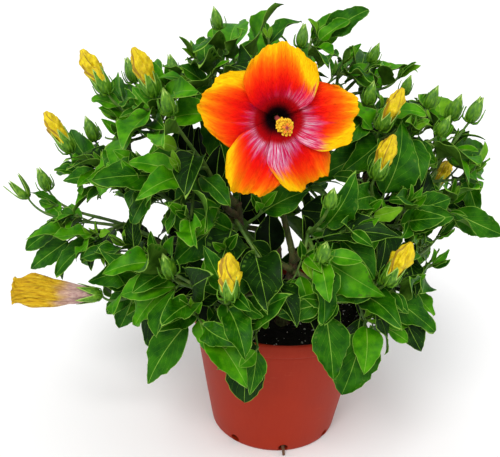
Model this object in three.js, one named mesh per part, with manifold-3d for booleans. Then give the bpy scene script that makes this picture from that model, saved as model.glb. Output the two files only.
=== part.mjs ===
// A potted hibiscus shrub, in millimetres. +Z is up, and the origin is the middle of the pot's flat underside.
// The front of the plant, where its open bloom looks, is -Y.
import * as THREE from "three";
import { mergeVertices } from "three/addons/utils/BufferGeometryUtils.js";
import Module from "manifold-3d";

// Driving dimensions of the pot: a round nursery pot of 16.5 cm
const POT_HEIGHT = 128;
const POT_RIM_RADIUS = 82.5;
const POT_WALL_TOP_RADIUS = 79.5;
const POT_FOOT_RADIUS = 60.5;
const POT_FOOT_BEVEL = 3.5;
const POT_RIM_BAND = 13;
const POT_WALL = 1.8;
const POT_FLOOR = 3;
const DRAIN_HOLES = 8;
const DRAIN_HOLE_RADIUS = 4.5;
const DRAIN_HOLE_HEIGHT = 5;
const SOIL_BELOW_RIM = 11;
const SOIL_CROWN = 3;
const SOIL_ROOM = 0.5;
const SOIL_CROWN_SHARE = 0.6;
const RIM_SLOPE = 2;
const POT_SIDES = 32;
const SOIL_SIDES = 24;

// Driving dimensions of the plant
const CROWN_CENTRE = new THREE.Vector3(-15, 0, 235);
const OUTWARD_RISE = 0.6;
const STEM_SIDES = 7;
const BOUGH_SIDES = 4;
const TWIG_SIDES = 3;
const STEM_FOOT_RADIUS = 5.6;
const STEM_TOP_RADIUS = 3.6;
const STEM_FLARE = 1.45;
const FLARE_FADE = 14;
const STEM_STEPS = 6;
const STEM_CUT = 3;
const BOUGH_FOOT_RADIUS = 3.1;
const BOUGH_TIP_RADIUS = 2.1;
const BOUGH_STEPS = 4;
const TWIG_FOOT_RADIUS = 1.6;
const TWIG_TIP_RADIUS = 1.3;
const TWIG_STEPS = 3;
const STEM_REACH = 28;
// How limbs bow, in shares of their rise or reach: where they start, and back from where they end
const STEM_BOW = { splay: 0.12, rise: 0.4, back: 0.2, drop: 0.35 };
const BOUGH_BOW = { out: 0.35, up: 0.12, back: 0.2, drop: 0.22 };
const TWIG_BOW = { towardsEnd: 0.7, forwards: 0.5, out: 0.4, lean: 0.55, drop: 0.3 };
const FIRST_FORK = 0.25;
const LAST_FORK = 0.92;
const LEAF_LENGTH = 48;
const LEAF_WIDTH = 29;
const LEAF_THICKNESS = 1.5;
const LEAF_SUNK = 0.3;
const LEAF_WIDEST = 0.3;
const LEAF_CLOSING = 0.72;
const CLOSING_WIDTH = 0.74;
const PETIOLE_SHARE = 0.2;
const LEAF_GAP = 13.2;
const FLOWER_STALK_SHARE = 0.25;
// The rule for leaves: the shares of a twig that they stand on, the angle in degrees that they open by, what
// they lean and face towards, how much shorter the young ones are, and how far each is spread at random
const FEWEST_LEAVES = 4;
const LEAFY = { from: 0.14, to: 1 };
const OPEN = { most: 78, less: 48, spread: 14 };
const LEAN = { outwards: 0.35, down: 0.15, spread: 0.35 };
const FACE = { light: 0.8, outwards: 0.5, spread: 0.5 };
const YOUNG = { from: 0.55, less: 0.42 };
const SPREAD = { length: [0.82, 0.36], width: [0.9, 0.25], bend: [0.1, 0.25], fold: [0.15, 0.4] };
const PLAIN_SHAPE = { bend: 0.12, fold: 0.3 };
const LEAF_SIZES = [1, 0.8, 0.62];
const LEAF_ROOT_ROOM = 5;
const SPACE_SLACK = 22;
const TURN_BETWEEN_LEAVES = THREE.MathUtils.degToRad(137.5);
const CLEARANCE = 0.3;
const FIRST_SEED = 101;

// Driving dimensions of the bloom
const BLOOM_THROAT = new THREE.Vector3(-10, -86, 325);
const BLOOM_AXIS = new THREE.Vector3(0.15, -0.98, 0.13).normalize();
const PETAL_THICKNESS = 1.2;
const PETAL_ROWS = 4;
const PETAL_COLUMNS = 4;
const COLUMN_LENGTH = 56;
// The calyx, the column and the knob of anthers, as radius and height over the throat
const BLOOM_CALYX = [[0, -21], [2, -21], [6.5, -13], [7.5, -2], [6, 7], [0, 7]];
const BLOOM_COLUMN = [[0, 0], [2, 0], [1.6, 35], [0, COLUMN_LENGTH]];
const BLOOM_ANTHERS = [[0, 37], [6.5, 43.5], [6, 52.5], [0, COLUMN_LENGTH + 2]];
// The stalk behind the bloom: how far it runs on from its bough, where it bends and ends behind the throat
const BLOOM_STALK = { onwards: 14, bend: 34, end: 19, steps: 6, taper: 0.5 };
// The space before the bloom that leaves keep out of, as radius and height over its throat
const BLOOM_FRONT = [[0, 24], [50, 24], [44, 70], [0, 70]];

// Each main stem: its foot on the soil and the fork where it ends
const STEMS = {
  stem_west: { foot: [-26, -2], fork: [-42, -8, 226] },
  stem_front: { foot: [4, -24], fork: [10, -52, 196] },
  stem_east: { foot: [28, 4], fork: [44, -6, 220] },
  stem_north: { foot: [-2, 28], fork: [-12, 46, 218] },
};

// Each branch: the stem that it leaves, how far up (1 is the fork), where its bough ends, and its twigs' ends.
// A twig ends in leaves only, or in a flower: closed, green (a bud) or spent.
const BRANCHES = {
  left_high: { stem: "stem_west", from: 0.98, to: [-92, -18, 272], twigs: [
    [-151, -22, 321, "closed"], [-134, 4, 326, "green"], [-107, -50, 328, "closed"], [-132, -44, 292, "leaves"],
    [-100, -14, 322, "leaves"]] },
  left_mid: { stem: "stem_west", from: 0.82, to: [-104, 4, 220], twigs: [
    [-194, 10, 259, "closed"], [-178, 32, 264, "green"], [-156, -14, 252, "leaves"],
    [-152, 20, 286, "leaves"]] },
  left_far: { stem: "stem_west", from: 0.6, to: [-124, 8, 182], twigs: [
    [-241, 20, 208, "green"], [-229, 44, 208, "green"], [-196, 6, 182, "leaves"], [-166, -16, 190, "leaves"]] },
  left_low: { stem: "stem_west", from: 0.42, to: [-78, -44, 164], twigs: [
    [-150, -72, 160, "spent"], [-104, -62, 168, "leaves"], [-134, -46, 196, "leaves"]] },
  front_left_high: { stem: "stem_west", from: 0.9, to: [-60, -50, 262], twigs: [
    [-88, -88, 324, "green"], [-78, -104, 286, "leaves"], [-112, -84, 268, "leaves"],
    [-72, -108, 252, "leaves"]] },
  front_left_low: { stem: "stem_front", from: 0.62, to: [-46, -82, 174], twigs: [
    [-36, -148, 206, "closed"], [-84, -112, 203, "green"], [-64, -128, 180, "leaves"], [-98, -90, 206, "leaves"],
    [-14, -126, 172, "leaves"]] },
  front_centre: { stem: "stem_front", from: 0.86, to: [-24, -62, 214], twigs: [
    [-50, -92, 250, "leaves"], [-18, -96, 256, "leaves"], [-42, -110, 226, "leaves"],
    [-6, -112, 214, "leaves"]] },
  front_mid: { stem: "stem_front", from: 1, to: [16, -80, 222], twigs: [
    [31, -130, 274, "green"], [28, -138, 236, "green"], [16, -116, 224, "leaves"], [52, -106, 244, "leaves"]] },
  front_right_low: { stem: "stem_front", from: 0.82, to: [46, -76, 178], twigs: [
    [80, -110, 207, "closed"], [34, -124, 196, "leaves"], [70, -98, 168, "leaves"], [96, -72, 190, "leaves"]] },
  right_low: { stem: "stem_east", from: 0.5, to: [88, -28, 182], twigs: [
    [124, -50, 196, "leaves"], [104, -58, 222, "leaves"], [134, -14, 206, "leaves"]] },
  right_mid: { stem: "stem_east", from: 0.74, to: [78, -40, 214], twigs: [
    [68, -72, 278, "closed"], [96, -64, 254, "leaves"], [136, -24, 244, "leaves"], [58, -84, 248, "leaves"]] },
  right_far: { stem: "stem_east", from: 0.9, to: [104, 4, 238], twigs: [
    [152, 8, 306, "green"], [139, 22, 304, "green"], [156, 14, 258, "leaves"], [148, 0, 236, "leaves"],
    [142, 22, 280, "leaves"]] },
  right_high: { stem: "stem_east", from: 0.98, to: [74, -12, 268], twigs: [
    [72, -40, 308, "closed"], [114, 2, 318, "green"], [122, -18, 300, "green"], [62, -22, 324, "green"],
    [98, -22, 300, "leaves"]] },
  top_right: { stem: "stem_north", from: 0.98, to: [26, 20, 296], twigs: [
    [65, 20, 350, "green"], [14, 10, 366, "leaves"], [88, 16, 338, "leaves"], [40, 4, 350, "leaves"]] },
  top_left: { stem: "stem_west", from: 1, to: [-48, 2, 302], twigs: [
    [-63, 8, 373, "green"], [-80, -6, 350, "leaves"], [-22, 8, 366, "leaves"], [-78, -28, 328, "leaves"]] },
  back_left_high: { stem: "stem_north", from: 0.9, to: [-62, 60, 272], twigs: [
    [-112, 84, 316, "closed"], [-74, 70, 342, "leaves"], [-134, 62, 292, "leaves"],
    [-84, 118, 296, "leaves"]] },
  back_left_low: { stem: "stem_north", from: 0.55, to: [-70, 66, 186], twigs: [
    [-146, 92, 216, "green"], [-112, 128, 210, "leaves"], [-128, 92, 186, "leaves"],
    [-162, 62, 206, "leaves"]] },
  back_high: { stem: "stem_north", from: 1, to: [-6, 70, 286], twigs: [
    [6, 92, 348, "closed"], [-34, 104, 326, "leaves"], [38, 106, 318, "leaves"], [-2, 142, 284, "leaves"]] },
  back_low: { stem: "stem_north", from: 0.72, to: [-8, 80, 200], twigs: [
    [-20, 162, 232, "green"], [-52, 140, 194, "leaves"], [24, 144, 190, "leaves"], [14, 148, 238, "leaves"]] },
  back_right_high: { stem: "stem_east", from: 0.94, to: [72, 50, 264], twigs: [
    [104, 76, 312, "green"], [66, 96, 318, "leaves"], [128, 76, 280, "leaves"], [84, 118, 272, "leaves"]] },
  back_right_low: { stem: "stem_east", from: 0.55, to: [82, 50, 184], twigs: [
    [142, 84, 214, "closed"], [98, 120, 210, "leaves"], [136, 66, 186, "leaves"], [152, 40, 222, "leaves"]] },
};
// Leaves that hang or stand out at the front. For each: its mass, the twig that it is on (0 is the first) and
// the share of that twig, the degrees that it points to the right of the front and that it hangs below level,
// and its length and width.
const PLAIN_LEAVES = [
  ["front_right_low", 2, 0.85, 10, 60, 58, 42],
  ["front_right_low", 1, 0.9, 10, 60, 48, 30],
  ["front_right_low", 3, 0.8, 50, 50, 55, 30],
  ["front_right_low", 1, 0.5, -80, 5, 46, 32],
  ["front_left_low", 4, 0.8, 10, 70, 52, 34],
  ["front_left_low", 2, 0.95, 35, 38, 55, 30],
  ["front_left_low", 2, 0.7, -60, 50, 60, 32],
  ["front_centre", 3, 0.9, -70, 10, 48, 30],
  ["front_centre", 0, 0.7, -70, 35, 45, 30],
  ["front_left_high", 2, 0.8, -65, 30, 60, 38],
  ["left_low", 2, 0.5, -60, 60, 56, 28],
  ["left_far", 2, 0.9, -75, 35, 48, 24],
  ["right_mid", 2, 0.9, 70, 35, 46, 26],
  ["right_far", 3, 0.85, 70, 25, 40, 24],
  ["top_right", 1, 0.9, 90, -35, 45, 27],
  ["top_right", 1, 0.95, -90, -40, 46, 28],
];

const BLOOM_BOUGH = { stem: "stem_front", from: 0.98, to: [-10, -60, 280] };

// Each petal: its turn clockwise from straight up as the bloom is looked at, its length and its width
const PETALS = {
  top: [0, 54, 58],
  right: [86, 61, 58],
  low: [150, 59, 50],
  low_left: [208, 59, 50],
  left: [279, 57, 58],
};

const wasm = await Module();
wasm.setup();
const Z = new THREE.Vector3(0, 0, 1);
const LIGHT = new THREE.Vector3(0, -0.6, 0.8);

// Repeatable random numbers from 0 to 1
function randomFrom(seed) {
  let state = seed >>> 0;
  return () => {
    state = (state + 0x6d2b79f5) >>> 0;
    let t = Math.imul(state ^ (state >>> 15), state | 1);
    t ^= t + Math.imul(t ^ (t >>> 7), t | 61);
    return ((t ^ (t >>> 14)) >>> 0) / 4294967296;
  };
}

// A closed geometry as a solid that can be cut and joined
function solid(geometry) {
  const bare = geometry.clone();
  bare.deleteAttribute("normal");
  bare.deleteAttribute("uv");
  const merged = mergeVertices(bare, 1e-4);
  return new wasm.Manifold(new wasm.Mesh({
    numProp: 3,
    vertProperties: merged.attributes.position.array,
    triVerts: new Uint32Array(merged.index.array),
  }));
}

function geometryOf(made) {
  const mesh = made.getMesh();
  const positions = new Float32Array(mesh.numVert * 3);
  for (let i = 0; i < mesh.numVert; i++) {
    positions.set(mesh.vertProperties.subarray(i * mesh.numProp, i * mesh.numProp + 3), i * 3);
  }
  const geometry = new THREE.BufferGeometry();
  geometry.setAttribute("position", new THREE.BufferAttribute(positions, 3));
  geometry.setIndex(new THREE.BufferAttribute(mesh.triVerts, 1));
  geometry.computeVertexNormals();
  return geometry;
}

function closedGeometry(points, faces) {
  const geometry = new THREE.BufferGeometry();
  geometry.setAttribute("position", new THREE.Float32BufferAttribute(points.flatMap((p) => [p.x, p.y, p.z]), 3));
  geometry.setIndex(faces.flat());
  return geometry;
}

// A tapering limb through a run of points, flat at both ends. The radius is a function of the share from 0 to 1.
function limb(points, radius, sides) {
  const last = points.length - 1;
  const corners = [];
  let across = null;
  points.forEach((centre, i) => {
    const heading = points[Math.min(i + 1, last)].clone().sub(points[Math.max(i - 1, 0)]).normalize();
    if (!across) across = new THREE.Vector3(heading.z, heading.x, heading.y);
    across.addScaledVector(heading, -across.dot(heading)).normalize();
    const beside = new THREE.Vector3().crossVectors(heading, across);
    for (let k = 0; k < sides; k++) {
      const turn = (2 * Math.PI * k) / sides;
      corners.push(centre.clone()
        .addScaledVector(across, radius(i / last) * Math.cos(turn))
        .addScaledVector(beside, radius(i / last) * Math.sin(turn)));
    }
  });
  const faces = [];
  for (let i = 0; i < last; i++) {
    for (let k = 0; k < sides; k++) {
      const a = i * sides + k;
      const b = i * sides + ((k + 1) % sides);
      faces.push([a, b, b + sides], [a, b + sides, a + sides]);
    }
  }
  const end = last * sides;
  for (let k = 1; k < sides - 1; k++) faces.push([0, k + 1, k], [end, end + k, end + k + 1]);
  return solid(closedGeometry(corners, faces));
}

// The place at a share of a run of points, and the heading there
function alongRun(points, t) {
  const at = Math.min(t, 0.9999) * (points.length - 1);
  const i = Math.floor(at);
  return {
    spot: points[i].clone().lerp(points[i + 1], at - i),
    heading: points[i + 1].clone().sub(points[i]).normalize(),
  };
}

const outwardAt = (p) => new THREE.Vector3(
  p.x - CROWN_CENTRE.x, p.y - CROWN_CENTRE.y, (p.z - CROWN_CENTRE.z) * OUTWARD_RISE).normalize();
const levelOut = (p) => new THREE.Vector3(p.x - CROWN_CENTRE.x, p.y - CROWN_CENTRE.y, 0).normalize();

// The pot: one turned shell with a rim band and a flat floor, and drain holes round its lower edge
function pot() {
  const inside = (radius) => radius - POT_WALL;
  const profile = [
    [0, 0],
    [POT_FOOT_RADIUS - POT_FOOT_BEVEL, 0],
    [POT_FOOT_RADIUS, POT_FOOT_BEVEL],
    [POT_WALL_TOP_RADIUS, POT_HEIGHT - POT_RIM_BAND],
    [POT_RIM_RADIUS, POT_HEIGHT - POT_RIM_BAND],
    [POT_RIM_RADIUS, POT_HEIGHT],
    [inside(POT_RIM_RADIUS), POT_HEIGHT],
    [inside(POT_WALL_TOP_RADIUS), POT_HEIGHT - POT_RIM_BAND - RIM_SLOPE],
    [inside(POT_FOOT_RADIUS), POT_FLOOR],
    [0, POT_FLOOR],
  ].map(([r, z]) => new THREE.Vector2(r, z));
  let shell = solid(new THREE.LatheGeometry(profile, POT_SIDES).rotateX(Math.PI / 2));
  for (let i = 0; i < DRAIN_HOLES; i++) {
    const hole = new THREE.CylinderGeometry(DRAIN_HOLE_RADIUS, DRAIN_HOLE_RADIUS, 14, 6)
      .rotateZ(Math.PI / 2)
      .translate(POT_FOOT_RADIUS, 0, DRAIN_HOLE_HEIGHT)
      .rotateZ(((i + 0.25) * 2 * Math.PI) / DRAIN_HOLES);
    shell = shell.subtract(solid(hole));
  }
  return shell;
}

// The potting soil: it fills the pot, and rises a little towards the stems
function soil() {
  const fit = (radius) => radius - POT_WALL - CLEARANCE - SOIL_ROOM;
  const top = POT_HEIGHT - SOIL_BELOW_RIM;
  const floor = POT_FLOOR + CLEARANCE;
  const profile = [
    [0, floor],
    [fit(POT_FOOT_RADIUS), floor],
    [fit(POT_WALL_TOP_RADIUS), POT_HEIGHT - POT_RIM_BAND - RIM_SLOPE],
    [fit(POT_WALL_TOP_RADIUS), top],
    [fit(POT_WALL_TOP_RADIUS) * SOIL_CROWN_SHARE, top + SOIL_CROWN],
    [0, top + SOIL_CROWN],
  ].map(([r, z]) => new THREE.Vector2(r, z));
  return solid(new THREE.LatheGeometry(profile, SOIL_SIDES).rotateX(Math.PI / 2));
}

const SOIL_TOP = POT_HEIGHT - SOIL_BELOW_RIM + SOIL_CROWN;

// A stem rises nearly upright and leans out to its fork. It is cut flat where it meets the soil.
function stemRun({ foot, fork }) {
  const start = new THREE.Vector3(foot[0], foot[1], SOIL_TOP - STEM_CUT);
  const end = new THREE.Vector3(...fork);
  const rise = end.z - start.z;
  const { splay, back, drop } = STEM_BOW;
  return new THREE.CubicBezierCurve3(
    start,
    start.clone().add(new THREE.Vector3(foot[0] * splay, foot[1] * splay, rise * STEM_BOW.rise)),
    end.clone().add(new THREE.Vector3((foot[0] - fork[0]) * back, (foot[1] - fork[1]) * back, -rise * drop)),
    end,
  ).getPoints(STEM_STEPS);
}

function stemRadius(t) {
  const flare = STEM_FOOT_RADIUS * (STEM_FLARE - 1) * Math.exp(-t * FLARE_FADE);
  return STEM_FOOT_RADIUS + (STEM_TOP_RADIUS - STEM_FOOT_RADIUS) * t + flare;
}

// A bough leaves its stem outwards and comes up to the place where its foliage starts
function boughRun(stem, { from, to }) {
  const start = alongRun(stem, from).spot;
  const end = new THREE.Vector3(...to);
  const reach = start.distanceTo(end);
  const out = levelOut(end);
  return new THREE.CubicBezierCurve3(
    start,
    start.clone().addScaledVector(out, reach * BOUGH_BOW.out).addScaledVector(Z, reach * BOUGH_BOW.up),
    end.clone().addScaledVector(out, -reach * BOUGH_BOW.back).addScaledVector(Z, -reach * BOUGH_BOW.drop),
    end,
  ).getPoints(BOUGH_STEPS);
}

const boughRadius = (t) => BOUGH_FOOT_RADIUS + (BOUGH_TIP_RADIUS - BOUGH_FOOT_RADIUS) * t;

// A twig leaves its mass's stem part forwards and part towards its end, and turns up there
function twigRun(hub, heading, end) {
  const reach = hub.distanceTo(end);
  const out = end.clone().sub(hub).normalize().multiplyScalar(TWIG_BOW.towardsEnd)
    .addScaledVector(heading, TWIG_BOW.forwards).normalize();
  const lift = Z.clone().addScaledVector(levelOut(end), TWIG_BOW.lean).normalize();
  return new THREE.CubicBezierCurve3(
    hub,
    hub.clone().addScaledVector(out, reach * TWIG_BOW.out),
    end.clone().addScaledVector(lift, -reach * TWIG_BOW.drop),
    end,
  ).getPoints(TWIG_STEPS);
}

const twigRadius = (t) => TWIG_FOOT_RADIUS + (TWIG_TIP_RADIUS - TWIG_FOOT_RADIUS) * t;

// A leaf blade with its stalk: a thin folded plate of twelve faces that widens from a root inside its twig. It
// is widest near its foot, and starts to close near its tip.
function leafSolid({ root, along, face, length, width, stalk, bend, fold }, grow = 0) {
  const side = new THREE.Vector3().crossVectors(face, along).normalize();
  const up = new THREE.Vector3().crossVectors(along, side).normalize();
  const widest = stalk + length * LEAF_WIDEST;
  const closing = stalk + length * LEAF_CLOSING;
  const at = (run, half, lift) => root.clone()
    .addScaledVector(along, run)
    .addScaledVector(side, half)
    .addScaledVector(up, lift - bend * ((Math.max(run - stalk, 0) / length) ** 2) * length);
  const thick = LEAF_THICKNESS / 2 + grow;
  const rise = width * 0.5 * Math.sin(fold);
  const half = (width / 2) * Math.cos(fold) + grow;
  const points = [
    at(-LEAF_SUNK, 0, 0),
    at(widest, half, rise), at(closing, half * CLOSING_WIDTH, rise * CLOSING_WIDTH),
    at(stalk + length + grow, 0, 0),
    at(closing, -half * CLOSING_WIDTH, rise * CLOSING_WIDTH), at(widest, -half, rise),
    at(widest, 0, thick), at(widest, 0, -thick),
  ];
  const [base, left, leftFar, tip, rightFar, right, midTop, midBottom] = points.keys();
  const rim = [base, left, leftFar, tip, rightFar, right, base];
  const faces = [];
  for (let i = 0; i < rim.length - 1; i++) {
    faces.push([midTop, rim[i + 1], rim[i]], [midBottom, rim[i], rim[i + 1]]);
  }
  return solid(closedGeometry(points, faces));
}

// The rule for the leaves of a twig: one after another round it, smaller towards its tip, leaning out and down
function leavesOf(run, random, bareShare) {
  const reach = run[0].distanceTo(run[run.length - 1]);
  const count = Math.max(FEWEST_LEAVES, Math.round((reach * (1 - bareShare)) / LEAF_GAP));
  const first = random() * 2 * Math.PI;
  const drawn = ([least, spread]) => least + spread * random();
  const leaves = [];
  for (let i = 0; i < count; i++) {
    const t = LEAFY.from + ((LEAFY.to - LEAFY.from - bareShare) * (i + 0.5)) / count;
    const { spot, heading } = alongRun(run, t);
    const across = new THREE.Vector3().crossVectors(heading, Z).normalize();
    const radial = across.clone().applyAxisAngle(heading, first + i * TURN_BETWEEN_LEAVES);
    const open = THREE.MathUtils.degToRad(OPEN.most - OPEN.less * t + OPEN.spread * (random() - 0.5));
    const outward = outwardAt(spot);
    const along = radial.multiplyScalar(Math.sin(open))
      .addScaledVector(heading, Math.cos(open))
      .addScaledVector(outward, LEAN.outwards)
      .addScaledVector(Z, -LEAN.down - LEAN.spread * random())
      .normalize();
    const face = LIGHT.clone().multiplyScalar(FACE.light)
      .addScaledVector(outward, FACE.outwards)
      .addScaledVector(across, FACE.spread * (random() - 0.5));
    const young = 1 - YOUNG.less * Math.max(0, (t - YOUNG.from) / (1 - YOUNG.from));
    const length = LEAF_LENGTH * young * drawn(SPREAD.length);
    leaves.push({
      root: spot,
      along,
      face,
      length,
      width: length * (LEAF_WIDTH / LEAF_LENGTH) * drawn(SPREAD.width),
      stalk: length * PETIOLE_SHARE,
      bend: drawn(SPREAD.bend),
      fold: drawn(SPREAD.fold),
    });
  }
  return leaves;
}

// One of the leaves that hang or stand out, on its own stalk
function plainLeaf(run, share, right, below, length, width) {
  const root = alongRun(run, share).spot;
  const along = new THREE.Vector3().setFromSphericalCoords(
    1, THREE.MathUtils.degToRad(90 + below), THREE.MathUtils.degToRad(right));
  along.set(along.x, -along.z, along.y);
  const face = LIGHT.clone().multiplyScalar(FACE.light).addScaledVector(outwardAt(root), FACE.outwards);
  return { root, along, face, length, width, stalk: length * PETIOLE_SHARE, ...PLAIN_SHAPE };
}

// A turned solid that stands at a place and looks one way. Its profile is a list of radius and height.
function turned(profile, sides, spot, aim) {
  const turn = new THREE.Quaternion().setFromUnitVectors(new THREE.Vector3(0, 1, 0), aim);
  const outline = profile.map(([r, y]) => new THREE.Vector2(r, y));
  return solid(new THREE.LatheGeometry(outline, sides).applyQuaternion(turn).translate(spot.x, spot.y, spot.z));
}

// A flower that is not open: a calyx cup, then furled petals. Its profile starts inside the end of its twig.
const FLOWERS = {
  closed: { profile: [[0, -2], [1.7, -2], [6.2, 9], [5, 15], [6.4, 22], [3.8, 31], [0, 36]], lean: 0.4 },
  green: { profile: [[0, -2], [1.7, -2], [5.4, 8], [3.4, 14], [0, 21]], lean: 0.25 },
  spent: { profile: [[0, -2], [1.7, -2], [6.5, 8], [7.5, 18], [13, 40], [12, 62], [0, 76]] },
};
const FLOWER_AIM = { up: 0.9, onwards: 0.3 };
const FLOWER_SIDES = 5;
const SPENT_AIM = new THREE.Vector3(-0.985, -0.14, 0.04).normalize();

function flowerSolid(kind, spot, heading) {
  const { profile, lean } = FLOWERS[kind];
  const upright = () => levelOut(spot).multiplyScalar(lean)
    .addScaledVector(Z, FLOWER_AIM.up)
    .addScaledVector(heading, FLOWER_AIM.onwards)
    .normalize();
  return turned(profile, FLOWER_SIDES, spot, kind === "spent" ? SPENT_AIM : upright());
}

// What is already in place, so that what comes later keeps clear of it
const placed = [];
const place = (made, owner) => placed.push({ made, owner, box: made.boundingBox() });
function touched(made, owner) {
  const box = made.boundingBox();
  return placed.find((other) => other.owner !== owner
    && [0, 1, 2].every((k) => box.min[k] < other.box.max[k] && other.box.min[k] < box.max[k])
    && other.made.intersect(made).volume() > 0);
}

// The wood and flowers of one mass: a stem clear of its bough's tip, and the twigs that part from it in turn
function twigsOf(name, bough, { twigs }) {
  const { heading } = alongRun(bough, 1);
  const tip = bough[bough.length - 1];
  const foot = tip.clone().addScaledVector(heading, CLEARANCE);
  const crown = tip.clone().addScaledVector(heading, STEM_REACH);
  const wood = [limb([foot, crown], () => BOUGH_TIP_RADIUS, BOUGH_SIDES)];
  const runs = twigs.map(([x, y, z, kind], i) => {
    const end = new THREE.Vector3(x, y, z);
    const fork = foot.clone().lerp(crown, FIRST_FORK + ((LAST_FORK - FIRST_FORK) * i) / (twigs.length - 1));
    const run = twigRun(fork, heading, end);
    wood.push(limb(run, twigRadius, TWIG_SIDES));
    if (kind !== "leaves") wood.push(flowerSolid(kind, end, alongRun(run, 1).heading));
    return { run, bareShare: kind === "leaves" ? 0 : FLOWER_STALK_SHARE };
  });
  for (const made of wood) place(made, name);
  const middle = crown.clone();
  for (const [x, y, z] of twigs) middle.add(new THREE.Vector3(x, y, z));
  return { wood, runs, leaves: [], middle: middle.divideScalar(twigs.length + 1) };
}

// Puts a leaf in its mass. One that leaves the mass's own space, or touches anything, is tried smaller, and
// is skipped if that doesn't fit either.
function settle(leaf, name, masses) {
  const others = Object.entries(masses).filter(([other]) => other !== name);
  const fromRoot = leaf.root.clone().addScaledVector(leaf.along, LEAF_ROOT_ROOM);
  for (const size of LEAF_SIZES) {
    const sized = { ...leaf, length: leaf.length * size, width: leaf.width * size, stalk: leaf.stalk * size };
    const tip = leaf.root.clone().addScaledVector(leaf.along, sized.length + sized.stalk);
    const own = tip.distanceTo(masses[name].middle) - SPACE_SLACK;
    if (others.some(([, other]) => tip.distanceTo(other.middle) < own)) continue;
    const past = { ...sized, root: fromRoot, stalk: sized.stalk - LEAF_ROOT_ROOM };
    if (touched(leafSolid(past, CLEARANCE), null)) continue;
    if (touched(leafSolid(sized, CLEARANCE), name)) continue;
    const made = leafSolid(sized);
    masses[name].leaves.push(made);
    place(made, name);
    return;
  }
}

// The open bloom: its axis, and two directions across it, the second one up
const BLOOM_ACROSS = new THREE.Vector3().crossVectors(BLOOM_AXIS, Z).normalize().negate();
const BLOOM_UP = new THREE.Vector3().crossVectors(BLOOM_AXIS, BLOOM_ACROSS).normalize();

// A petal's form: it starts at the throat's radius, is rounded at its edge, widens by part of a sine, rises out
// of the throat, bends back at the edge, and lies with one side over its neighbour
const PETAL = {
  foot: 3, rounding: 0.16, footWidth: 0.1, widens: 0.98, sine: 0.6, fullness: 1.2,
  rise: 25, steepness: 3.6, backwards: 5, overlap: 2.4,
};

// A point on a petal's middle surface: v runs from the throat to the edge, and u from one side to the other
function petalPoint([turn, length, width], u, v, lift) {
  const middle = THREE.MathUtils.degToRad(turn);
  const reach = PETAL.foot + (length - PETAL.foot) * v * (1 - PETAL.rounding * u * u * v);
  const opened = Math.min(1, PETAL.footWidth + v * PETAL.widens) * Math.PI * PETAL.sine;
  const half = 0.5 * width * Math.sin(opened) ** PETAL.fullness;
  const height = PETAL.rise * (1 - Math.exp(-v * PETAL.steepness)) - PETAL.backwards * v * v
    + PETAL.overlap * u * v + lift;
  return BLOOM_THROAT.clone()
    .addScaledVector(BLOOM_AXIS, height)
    .addScaledVector(BLOOM_ACROSS, reach * Math.sin(middle) + half * u * Math.cos(middle))
    .addScaledVector(BLOOM_UP, reach * Math.cos(middle) - half * u * Math.sin(middle));
}

function petal(sizes) {
  const rows = PETAL_ROWS;
  const columns = PETAL_COLUMNS;
  const points = [];
  const faces = [];
  for (const lift of [0, -PETAL_THICKNESS]) {
    for (let i = 0; i <= rows; i++) {
      for (let j = 0; j <= columns; j++) points.push(petalPoint(sizes, (2 * j) / columns - 1, i / rows, lift));
    }
  }
  const wide = columns + 1;
  const under = (rows + 1) * wide;
  for (let i = 0; i < rows; i++) {
    for (let j = 0; j < columns; j++) {
      const a = i * wide + j;
      faces.push([a, a + 1, a + wide + 1], [a, a + wide + 1, a + wide]);
      const c = a + under;
      faces.push([c, c + wide + 1, c + 1], [c, c + wide, c + wide + 1]);
    }
  }
  const rim = [];
  for (let j = 0; j < columns; j++) rim.push(j);
  for (let i = 0; i < rows; i++) rim.push(i * wide + columns);
  for (let j = columns; j > 0; j--) rim.push(rows * wide + j);
  for (let i = rows; i > 0; i--) rim.push(i * wide);
  rim.forEach((a, i) => {
    const b = rim[(i + 1) % rim.length];
    faces.push([a, a + under, b + under], [a, b + under, b]);
  });
  const made = solid(closedGeometry(points, faces));
  return made.volume() > 0 ? made : solid(closedGeometry(points, faces.map(([a, b, c]) => [a, c, b])));
}

function bloom(bough) {
  const at = (share) => BLOOM_THROAT.clone().addScaledVector(BLOOM_AXIS, share);
  const tip = bough[bough.length - 1];
  const { heading } = alongRun(bough, 1);
  const stalk = new THREE.CubicBezierCurve3(
    tip.clone().addScaledVector(heading, CLEARANCE),
    tip.clone().addScaledVector(heading, BLOOM_STALK.onwards),
    at(-BLOOM_STALK.bend),
    at(-BLOOM_STALK.end),
  ).getPoints(BLOOM_STALK.steps);
  const turnedHere = (profile, sides) => turned(profile, sides, BLOOM_THROAT, BLOOM_AXIS);
  return wasm.Manifold.union([
    limb(stalk, (t) => BOUGH_TIP_RADIUS - BLOOM_STALK.taper * t, 5),
    turnedHere(BLOOM_CALYX, 8),
    turnedHere(BLOOM_COLUMN, 5),
    turnedHere(BLOOM_ANTHERS, 6),
    ...Object.values(PETALS).map(petal),
  ]);
}

const FINISH = {
  pot: new THREE.MeshStandardMaterial({ color: "#a23a28", roughness: 0.5 }),
  soil: new THREE.MeshStandardMaterial({ color: "#17130f", roughness: 1 }),
  bark: new THREE.MeshStandardMaterial({ color: "#6b5b3e", roughness: 0.85 }),
  leaf: new THREE.MeshStandardMaterial({ color: "#2f7a1c", roughness: 0.45 }),
  petal: new THREE.MeshStandardMaterial({ color: "#ff5a14", roughness: 0.5 }),
};

const plant = new THREE.Group();
function add(name, made, finish) {
  const mesh = new THREE.Mesh(geometryOf(made), finish);
  mesh.name = name;
  plant.add(mesh);
}
const largestOf = (made) => made.decompose().sort((a, b) => b.volume() - a.volume())[0];

add("pot", pot(), FINISH.pot);
add("soil", soil(), FINISH.soil);

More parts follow.
